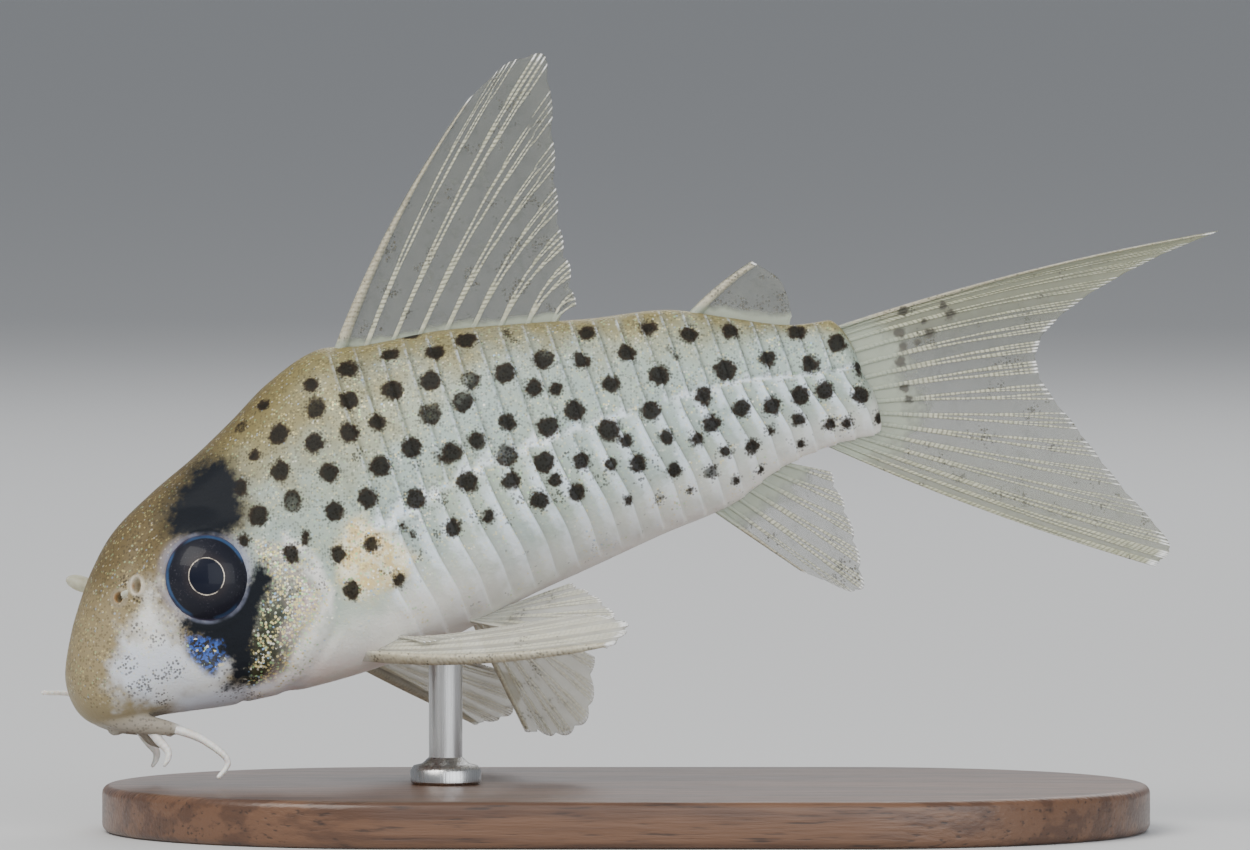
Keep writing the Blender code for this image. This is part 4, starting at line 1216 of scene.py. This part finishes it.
def lip_roll(middle_along, up, forward, half_width, radius):
    """A lip's roll: a half circle of flesh, open to the rear."""
    points, radii = [], []
    for share in shares(30):
        a = math.pi * (share - 0.5)
        points.append(Vector((middle_along - forward * math.cos(a), half_width * math.sin(a), up)))
        radii.append(radius * (0.55 + 0.45 * math.cos(a) ** 0.5))
    bm = bmesh.new()
    loft(bm, tube_rings(points, radii, 14))
    return bm


def mouth_pieces():
    """The lips, the fleshy lobe at each corner of the mouth and the two bumps on the chin."""
    pieces = [lip_roll(*UPPER_LIP), lip_roll(*LOWER_LIP)]
    sizes = list(zip(shares(len(LOBE_RADII)), LOBE_RADII))
    for side in (1, -1):
        pieces.append(tube(mirrored(LOBE_ROUTE, side), lambda share: curve(sizes, share), 20, 26, 0.72))
        pieces.append(tube(mirrored(CHIN_ROUTE, side), lambda share: 0.21 - 0.10 * share, 10, 14))
    return pieces


def smooth_mouth(bm):
    """Blends the lips and lobes into the snout."""
    middle = Vector((2.0, 0.0, -5.0))
    near = [v for v in bm.verts if (v.co - middle).length < 3.4 and v.co.z < -3.2 and v.co.x < 4.6]
    for _ in range(7):
        bmesh.ops.smooth_vert(bm, verts=near, factor=0.5, use_axis_x=True, use_axis_y=True, use_axis_z=True)


def mark_skin(bm, layers):
    """Keeps on each point its distances from the markings, for the material."""
    marks = marks_on(bm, "along", "up", "rise", "cover", "lateral", "spot", "mask", "blue", "gill", "slit",
                     "shield", "cheek", "fleck", "eye", "nostril", "rear_nostril")
    shapes = {"blue": outline(BLUE_PATCH), "gill": outline(GILL_COVER), "slit": outline(GILL_SLIT),
              "shield": outline(SHIELD), "cheek": outline(CHEEK)}
    masks = [outline(MASK_ABOVE), outline(MASK_BELOW)]
    flecks = [(from_pixel(p[:2]), p[2] * PIXEL) for p in FLECKS]
    trees = {side: spot_tree(side) for side in (1, -1)}
    eyes = {side: eye_place(side) for side in (1, -1)}
    rear, front = (on_side(pixel)[0] for pixel in (NOSTRIL_REAR, NOSTRIL_FRONT))
    for vert in bm.verts:
        at, turn, aside, rise = plate_place(vert, layers)
        along, up = seen(vert.co)
        side = 1 if vert.co.y > 0 else -1
        right = mirror_side(vert.co, side)
        middle, axis = eyes[side]
        reach = vert.co - middle
        values = {name: from_edge(shape, along, up) for name, shape in shapes.items()}
        values.update({
            "along": along,
            "up": up,
            "rise": rise,
            "cover": plate_cover(at, turn),
            "lateral": aside + 0.02 * (1.0 - rise),
            "spot": nearest_spot(trees, vert.co),
            "mask": min(from_edge(m, along, up) for m in masks),
            "fleck": min(math.hypot(along - a, up - u) - r for (a, u), r in flecks),
            "eye": (reach - axis * reach.dot(axis)).length,
            "nostril": min((right - rear).length, (right - front).length),
            "rear_nostril": (right - rear).length,
        })
        for name, value in values.items():
            vert[marks[name]] = value
        vert[layers["turn"]] = turn


def restore_marks(bm, layers_of, tree):
    """After a join, gives each new point the station, phase and turn of the nearest old one."""
    layers = {name: bm.verts.layers.float.get(name) or bm.verts.layers.float.new(name) for name in layers_of}
    for vert in bm.verts:
        _, index, _ = tree.find(vert.co)
        for name in layers_of:
            vert[layers[name]] = layers_of[name][index]
    return layers


class CATFISH_OT_skin(bpy.types.Operator):
    """Build the head, trunk, tail and lips as one skin, with its plates and markings"""
    bl_idname = "catfish.skin"
    bl_label = "Skin"

    def execute(self, context):
        settings = context.scene.catfish_skin
        radius = context.scene.catfish_eye.radius / MM
        bm, layers = skin_grid()
        shape_relief(bm, layers, settings)
        for side in (1, -1):
            shape_orbit(bm, side, radius)
        shape_nostrils(bm)
        tree = kdtree.KDTree(len(bm.verts))
        kept = {name: [] for name in layers}
        for i, vert in enumerate(bm.verts):
            tree.insert(vert.co, i)
            for name, layer in layers.items():
                kept[name].append(vert[layer])
        tree.balance()
        bm = boolean_union(bm, mouth_pieces())
        layers = restore_marks(bm, kept, tree)
        smooth_mouth(bm)
        mark_skin(bm, layers)
        set_pose(bm)
        add_piece("skin", bm, skin_finish(settings), "flank_skin", "head", "trunk", "tail", "lower_lip")
        return {"FINISHED"}


class CATFISH_OT_eyes(bpy.types.Operator):
    """Build both eyeballs"""
    bl_idname = "catfish.eyes"
    bl_label = "Eyes"

    def execute(self, context):
        settings = context.scene.catfish_eye
        radius = settings.radius / MM
        for name, side in (("eye_ball_right", 1), ("eye_ball_left", -1)):
            middle, axis = eye_place(side)
            first, second, third = frame_round(axis)
            bm = bmesh.new()
            bmesh.ops.create_uvsphere(bm, u_segments=96, v_segments=64, radius=1.0)
            marks = marks_on(bm, "off")
            for vert in bm.verts:
                x, y, z = vert.co
                vert[marks["off"]] = math.hypot(x, y) * radius
                vert.co = middle + (first * x + second * y) * radius + third * z * EYE_DEPTH
            set_pose(bm)
            node = "eye_right" if side > 0 else "eye_left"
            add_piece(name, bm, eye_finish(settings, node + "_finish"), "eye", node)
        return {"FINISHED"}


# Fins

def fin_piece(name, node, rays, roots, tips, bow=(0.0, 0.0), normal=(0, 1, 0), rows=70, notch=0.30, wave=0.15,
              lead=0.24, ridged=99, dense=((0.0, 0.0), (1.0, 0.0)), pale=0.0, foot=2.4, spots=()):
    """A fin as one thin closed sheet, its rays ridges in both faces that branch towards the tips.

    roots and tips are smooth curves from the first ray to the last; bow is how far the first and the last
    ray curve forward of the straight; notch is how far the web's edge lies behind the rays' tips; lead is
    half the thickness of the first ray; ridged is how many rays show; dense is how folded the fin is from
    first to last; pale is how milky its web is; foot is how far flesh covers its root; spots are dark spots
    on it, as (pixel across, pixel down, radius).
    """
    settings = bpy.context.scene.catfish_fin
    material = bpy.data.materials.get("clear_fin") or fin_finish(settings)
    roots, tips = [Vector(p) for p in roots], [Vector(p) for p in tips]
    specks = [(*from_pixel(spot[:2]), spot[2] * PIXEL) for spot in spots]
    across = Vector(normal).normalized()
    web_half, ray_half = settings.web_half / MM, settings.ray_half / MM
    last = rays - 1
    span = last + 2 * SPARE_WEB
    columns = round(span * settings.columns)
    strips = []
    for i in range(columns + 1):
        ray = -SPARE_WEB + span * i / columns
        share = ray / last
        inner = min(max(share, 0.0), 1.0)
        root, tip = evenly(roots, inner), evenly(tips, inner)
        if share != inner:
            step = 0.02 if inner == 0.0 else -0.02
            root += (evenly(roots, inner + step) - root) / step * (share - inner)
            tip += (evenly(tips, inner + step) - tip) / step * (share - inner)
        strips.append((ray, inner, root, tip))

    def spacing(i, v):
        """How far apart the rays stand, this far along them."""
        a, b = strips[max(i - 1, 0)], strips[min(i + 1, columns)]
        gap = (b[2].lerp(b[3], v) - a[2].lerp(a[3], v)).length
        return gap / max(b[0] - a[0], 1e-6)

    def profile(i, v):
        """How high a ray stands at a point, from 0 to 1, its half thickness there, and which ray it is."""
        ray = strips[i][0]
        k = min(max(round(ray), 0), last)
        width = lead * (1.75 - 0.95 * v) if k == 0 else ray_half * (1.0 - 0.40 * v)
        first = 0.0 if k == 0 else FORK[0] + FORK[1] * smoothstep(0.10, 0.80, v)
        second = 0.0 if k == 0 else TWIG * smoothstep(0.55, 0.95, v)
        middles = [sign * first + turn * second for sign in (-1, 1) for turn in (-1, 1)]
        off = min(abs(ray - k - m) for m in middles) * spacing(i, v)
        height = math.sqrt(max(1.0 - (off / width) ** 2, 0.0)) if k < ridged else 0.0
        return height, width, k

    def point_of(i, v):
        """The middle of the web at a point, half its thickness there, and what the material reads."""
        ray, inner, root, tip = strips[i]
        height, width, k = profile(i, v)
        reach = tip - root
        web = min(abs(ray - k) * 2.0, 1.0) ** 2
        v_cut = v * (1.0 - notch / reach.length * web * (1.0 if ray > 0.5 else 0.3))
        curved = (bow[0] + (bow[1] - bow[0]) * inner) * 4.0 * v_cut * (1.0 - v_cut)
        ripple = wave * math.sin(2.6 * ray / last * math.pi + 0.8) * v * v
        point = root + reach * v_cut + reach.cross(across).normalized() * curved + across * ripple
        before, after = (ray + SPARE_WEB) / SPARE_WEB, (last + SPARE_WEB - ray) / SPARE_WEB
        outer = min(max(before, 0.0), 1.0) * min(max(after, 0.0), 1.0)
        thin = 1.0 - 0.5 * smoothstep(0.85, 1.0, v)
        half = (web_half * outer + width * height * (0.75 if k == 0 else 1.0)) * thin
        return point, max(half, LEAST_HALF), {
            "ray": height,
            "reach": reach.length * v_cut + (k * JOINT_SHIFT[0]) % JOINT_SHIFT[1],
            "lead": height if k == 0 else 0.0,
            "dense": curve(dense, inner),
            "tip": v,
            "pale": pale,
            "spot": min((math.hypot(point.x - s, point.z - u) - r for s, u, r in specks), default=NO_SPOT),
            "foot": max(1.0 - reach.length * v_cut / foot, 0.0),
        }

    bm, middle = sheet(columns, rows)
    marks = marks_on(bm, "ray", "reach", "lead", "dense", "tip", "pale", "spot", "foot")
    kept = {}
    for vert in bm.verts:
        i, j = round((vert.co.x + 1.0) / 2.0 * columns), round((vert.co.y + 1.0) / 2.0 * rows)
        if (i, j) not in kept:
            kept[(i, j)] = point_of(i, j / rows)
        point, half, values = kept[(i, j)]
        vert.co = pose(point + across * half * (1.0 if vert.co.z > middle else -1.0))
        for key, value in values.items():
            vert[marks[key]] = value
    return add_piece(name, bm, material, "fin_membrane", node)


def ridge(angle, start, end, lift, count):
    """Points along the back (angle 0) or the belly (angle pi), lifted by so much."""
    return [skin(start + (end - start) * i / (count - 1), angle) + Vector((0, 0, lift)) for i in range(count)]


def median(*points):
    return [(along, 0.0, up) for along, up in points]


class CATFISH_OT_median_fins(bpy.types.Operator):
    """Build the dorsal, adipose, anal and tail fins"""
    bl_idname = "catfish.median_fins"
    bl_label = "Fins on the midline"

    def execute(self, context):
        fin_piece("dorsal", "dorsal_fin", 9, ridge(0.0, 18.5, 29.9, -0.35, 7),
                  median((29.6, 21.3), (32.0, 22.4), (34.0, 22.2), (33.6, 19.6), (32.9, 17.0), (32.3, 14.7),
                         (31.9, 12.6), (31.8, 11.0), (31.5, 9.2)),
                  bow=(0.5, 0.3), rows=96, lead=0.27, foot=1.0)
        fin_piece("adipose", "adipose_fin", 4, ridge(0.0, 37.1, 41.7, -0.25, 7),
                  median((41.2, 8.1), (42.1, 7.0), (42.3, 5.9), (42.2, 4.9)),
                  bow=(0.15, 0.1), rows=36, lead=0.22, wave=0.05, ridged=1, notch=0.0, foot=1.2)
        fin_piece("anal", "anal_fin", 7, ridge(math.pi, 34.9, 39.1, 0.30, 5),
                  median((38.6, -8.5), (41.0, -10.4), (41.6, -8.6), (41.75, -6.2), (41.6, -4.0)),
                  rows=60, lead=0.20, wave=0.10)
        fin_piece("tail_fin", "caudal_fin", 16,
                  median((42.4, 3.45), (43.8, 2.6), (44.1, 0.5), (43.9, -1.2), (42.8, -1.95), (41.2, -1.80)),
                  median((65.1, 1.8), (61.4, 1.5), (57.3, 0.7), (54.5, -0.6), (53.8, -2.6), (54.9, -6.0),
                         (56.1, -9.4), (57.6, -13.2), (56.6, -14.1)),
                  bow=(0.50, -0.35), rows=96, lead=0.20, notch=0.12, foot=4.4, spots=TAIL_SPOTS,
                  dense=((0.0, 0.75), (0.20, 0.60), (0.34, 0.12), (0.60, 0.05), (0.82, 0.30), (1.0, 0.60)))
        return {"FINISHED"}


class CATFISH_OT_paired_fins(bpy.types.Operator):
    """Build the pectoral and pelvic fins"""
    bl_idname = "catfish.paired_fins"
    bl_label = "Paired fins"

    def execute(self, context):
        roots = ((13.7, 3.90, -4.65), (14.7, 4.10, -4.45), (15.6, 4.30, -4.30))
        fin_piece("pectoral_left", "pectoral_fin_left", 9, mirrored(roots, -1),
                  ((27.6, -8.8, -8.3), (28.6, -7.9, -7.6), (26.4, -6.8, -6.6), (22.2, -6.0, -5.9),
                   (18.4, -5.8, -5.3)),
                  bow=(-0.9, 0.2), normal=(0.25, 0.45, -1.0), rows=64, lead=0.26, pale=0.75)
        fin_piece("pectoral_right", "pectoral_fin_right", 9, roots,
                  ((19.0, 14.4, -11.2), (21.0, 13.2, -11.3), (22.0, 10.6, -9.9), (20.6, 8.2, -8.1),
                   (18.6, 6.6, -6.6)),
                  bow=(0.5, 0.0), normal=(-0.55, 0.5, -1.0), rows=64, lead=0.26, pale=0.75)
        roots = ((20.8, 2.7, -5.15), (21.5, 2.1, -5.15), (22.2, 1.5, -5.1))
        fin_piece("pelvic_left", "pelvic_fin_left", 6, mirrored(roots, -1),
                  ((27.3, -4.6, -8.6), (28.2, -3.8, -7.4), (27.5, -3.0, -5.9), (26.6, -2.2, -5.0)),
                  normal=(0.3, 1.0, -0.5), rows=56, lead=0.16, wave=0.1, pale=0.6)
        fin_piece("pelvic_right", "pelvic_fin_right", 6, roots,
                  ((21.7, 5.6, -12.2), (23.4, 5.2, -12.9), (25.3, 4.2, -12.2), (26.4, 3.0, -9.6)),
                  normal=(0.2, 1.0, 0.5), rows=60, lead=0.16, pale=0.8)
        return {"FINISHED"}


# Feelers

def feeler(name, node, route, root_radius, tip_radius, material):
    """A feeler along a route, with its distance from the root kept for the rings."""
    route = [Vector(p) for p in route]
    bm = tube(route, lambda share: tip_radius + (root_radius - tip_radius) * (1.0 - share) ** 0.9, 18, 60)
    marks = marks_on(bm, "reach")
    for vert in bm.verts:
        vert[marks["reach"]] = (vert.co - route[0]).length
    set_pose(bm)
    return add_piece(name, bm, material, "barbel_skin", node)


def nostril_flap(name, side, pixel, size, broad, ahead, material):
    """The small rounded flap of skin between two nostrils, a bent sheet that leans forward."""
    spot, normal = mirrored(on_side(pixel), side)
    out = (normal + Vector(ahead)).normalized()
    upright = Vector((0.35, 0.0, 0.93))
    wide = (upright - out * out.dot(upright)).normalized()
    through = out.cross(wide)
    bm, middle = sheet(20, 20)
    marks = marks_on(bm, "reach")
    for vert in bm.verts:
        u, v = vert.co.x, (vert.co.y + 1.0) / 2.0
        face = 1.0 if vert.co.z > middle else -1.0
        flare = broad * (0.6 + 0.4 * v) * math.sqrt(max(1.0 - max((v - 0.55) / 0.47, 0.0) ** 2, 0.0))
        curl = 0.10 * u * u - 0.12 * v * v
        thick = 0.035 * (1.0 - 0.6 * v)
        vert.co = spot + (out * (v - 0.15) + wide * u * flare + through * (curl + face * thick)) * size
        vert[marks["reach"]] = v
    set_pose(bm)
    return add_piece(name, bm, material, "head_skin")


class CATFISH_OT_feelers(bpy.types.Operator):
    """Build the feelers round the mouth and the flaps between the nostrils"""
    bl_idname = "catfish.feelers"
    bl_label = "Feelers"

    def execute(self, context):
        material = feeler_finish(context.scene.catfish_fin)
        for name, node, route, root, tip in (
                ("feeler_long_left", "long_barbel_left", LONG_LEFT, 0.26, 0.12),
                ("feeler_long_right", "long_barbel_right", LONG_RIGHT, 0.26, 0.11),
                ("feeler_short_right", "short_barbel_right", SHORT_ROUTE, 0.30, 0.10),
                ("feeler_short_left", "short_barbel_left", mirrored(SHORT_ROUTE, -1), 0.30, 0.10)):
            feeler(name, node, route, root, tip, material)
        material = flap_finish(context.scene.catfish_skin)
        nostril_flap("nostril_flap_right", 1, FAR_FLAP, 2.25, 0.22, (-1.1, 0.0, 0.95), material)
        nostril_flap("nostril_flap_left", -1, NOSTRIL_FLAP, 0.62, 0.38, (-1.2, 0.0, -0.6), material)
        return {"FINISHED"}


# Stand and stage

class CATFISH_OT_stand(bpy.types.Operator):
    """Build the wooden base and the steel rod"""
    bl_idname = "catfish.stand"
    bl_label = "Stand"

    def execute(self, context):
        settings = context.scene.catfish_stand
        low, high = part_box("stand_base")
        width = high.y - low.y
        straight = (high.x - low.x) - width
        bm = bmesh.new()
        bmesh.ops.create_circle(bm, segments=160, radius=width / 2, cap_ends=True)
        for vert in bm.verts:
            vert.co.x += math.copysign(straight / 2, vert.co.x)
        made = bmesh.ops.extrude_face_region(bm, geom=bm.faces[:])["geom"]
        raised = [g for g in made if isinstance(g, bmesh.types.BMVert)]
        bmesh.ops.translate(bm, verts=raised, vec=(0, 0, high.z))
        edges = [e for e in bm.edges if abs(e.verts[0].co.z - e.verts[1].co.z) < 1e-9]
        bmesh.ops.bevel(bm, geom=edges, offset=BASE_BEVEL * MM, segments=5, affect="EDGES", profile=0.5,
                        material=-1)
        base = add_piece("stand_foot", bm, wood_finish(settings), "stand_wood", "stand_base")
        for face in base.data.polygons:
            face.use_smooth = len(face.vertices) <= 4

        low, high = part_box("stand_rod")
        middle = (low + high) / 2
        radius, collar = ROD_RADIUS * MM, (high.x - low.x) / 2
        top, foot = high.z + ROD_HIDDEN * MM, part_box("stand_base")[1].z
        bm = bmesh.new()
        profile = [(0.0, foot)]
        for edge, steps in ((collar, COLLAR_EDGE), (radius, COLLAR_NECK)):
            profile += [(edge + out * MM, foot + up * MM) for out, up in steps]
        profile += [(radius, top), (0.0, top)]
        points = [bmesh.ops.create_vert(bm, co=(middle.x + x, 0.0, z))["vert"][0] for x, z in profile]
        edges = [bmesh.ops.contextual_create(bm, geom=pair)["edges"][0] for pair in zip(points, points[1:])]
        bmesh.ops.spin(bm, geom=points + edges, cent=(middle.x, 0, 0), axis=(0, 0, 1), angle=2 * math.pi,
                       steps=64, use_merge=True)
        bmesh.ops.remove_doubles(bm, verts=bm.verts, dist=1e-6)
        rod = add_piece("stand_post", bm, steel_finish(settings), "stand_steel", "stand_rod")
        rod.modifiers.new("edges", "EDGE_SPLIT").split_angle = math.radians(40)
        return {"FINISHED"}


class CATFISH_OT_stage(bpy.types.Operator):
    """Build the pale floor, the lights and the camera"""
    bl_idname = "catfish.stage"
    bl_label = "Floor, light and camera"

    def execute(self, context):
        settings, scene = context.scene.catfish_studio, context.scene
        bm = bmesh.new()
        bmesh.ops.create_grid(bm, x_segments=1, y_segments=1, size=30.0)
        mesh = bpy.data.meshes.new("floor")
        bm.to_mesh(mesh)
        bm.free()
        look = Finish("floor_finish", roughness=0.75)
        look.put("Base Color", settings.floor)
        mesh.materials.append(look.material)
        floor = bpy.data.objects.new("floor", mesh)
        scene.collection.objects.link(floor)

        world = bpy.data.worlds.new("studio_air")
        scene.world = world
        world.use_nodes = True
        air = next(n for n in world.node_tree.nodes if n.type == "BACKGROUND")
        air.inputs["Color"].default_value = AIR_TINT
        air.inputs["Strength"].default_value = settings.air

        lights = (("key", settings.key, 0.50, Vector((-0.34, -0.36, 0.52)), (1.0, 0.97, 0.92)),
                  ("fill", settings.fill, 0.60, Vector((0.26, -0.50, 0.09)), (0.94, 0.97, 1.0)),
                  ("rim", settings.fill * 0.45, 0.50, Vector((0.10, 0.45, 0.42)), (1.0, 1.0, 1.0)))
        middle = VIEW_MIDDLE * MM
        for name, power, size, place, tint in lights:
            lamp = bpy.data.lights.new(name, "AREA")
            lamp.energy, lamp.size, lamp.color = power, size, tint
            light = bpy.data.objects.new(name, lamp)
            light.location = place
            light.rotation_mode = "QUATERNION"
            light.rotation_quaternion = (middle - place).to_track_quat("-Z", "Y")
            scene.collection.objects.link(light)

        lens = bpy.data.cameras.new("camera")
        lens.sensor_fit = "HORIZONTAL"
        lens.lens = lens.sensor_width * VIEW_DISTANCE / VIEW_WIDTH
        lens.clip_start, lens.clip_end = 0.01, 100.0
        camera = bpy.data.objects.new("camera", lens)
        back = Vector((0.0, -math.cos(VIEW_RISE), math.sin(VIEW_RISE)))
        camera.location = middle + back * VIEW_DISTANCE * MM
        camera.rotation_mode = "QUATERNION"
        camera.rotation_quaternion = (-back).to_track_quat("-Z", "Y")
        scene.collection.objects.link(camera)
        scene.camera = camera
        return {"FINISHED"}


OPERATORS = (CATFISH_OT_skin, CATFISH_OT_eyes, CATFISH_OT_median_fins, CATFISH_OT_paired_fins,
             CATFISH_OT_feelers, CATFISH_OT_stand, CATFISH_OT_stage)
SETTINGS = (("catfish_skin", CatfishSkinSettings), ("catfish_eye", CatfishEyeSettings),
            ("catfish_fin", CatfishFinSettings), ("catfish_stand", CatfishStandSettings),
            ("catfish_studio", CatfishStudioSettings))


class CATFISH_PT_panel(bpy.types.Panel):
    """The catfish model's settings and the buttons that build it"""
    bl_idname = "CATFISH_PT_panel"
    bl_label = "Catfish model"
    bl_space_type = "VIEW_3D"
    bl_region_type = "UI"
    bl_category = "Catfish"

    def draw(self, context):
        for name, group in SETTINGS:
            box = self.layout.box()
            for field in group.__annotations__:
                box.prop(getattr(context.scene, name), field)
        for operator in OPERATORS:
            self.layout.operator(operator.bl_idname)


def register():
    for name, group in SETTINGS:
        bpy.utils.register_class(group)
        setattr(bpy.types.Scene, name, PointerProperty(type=group))
    for thing in (*OPERATORS, CATFISH_PT_panel):
        bpy.utils.register_class(thing)


def unregister():
    for thing in reversed((*OPERATORS, CATFISH_PT_panel)):
        bpy.utils.unregister_class(thing)
    for name, group in reversed(SETTINGS):
        delattr(bpy.types.Scene, name)
        bpy.utils.unregister_class(group)


def main():
    register()
    bpy.ops.catfish.skin()
    bpy.ops.catfish.eyes()
    bpy.ops.catfish.median_fins()
    bpy.ops.catfish.paired_fins()
    bpy.ops.catfish.feelers()
    bpy.ops.catfish.stand()
    bpy.ops.catfish.stage()
    bpy.context.view_layer.update()


if __name__ == "__main__":
    main()
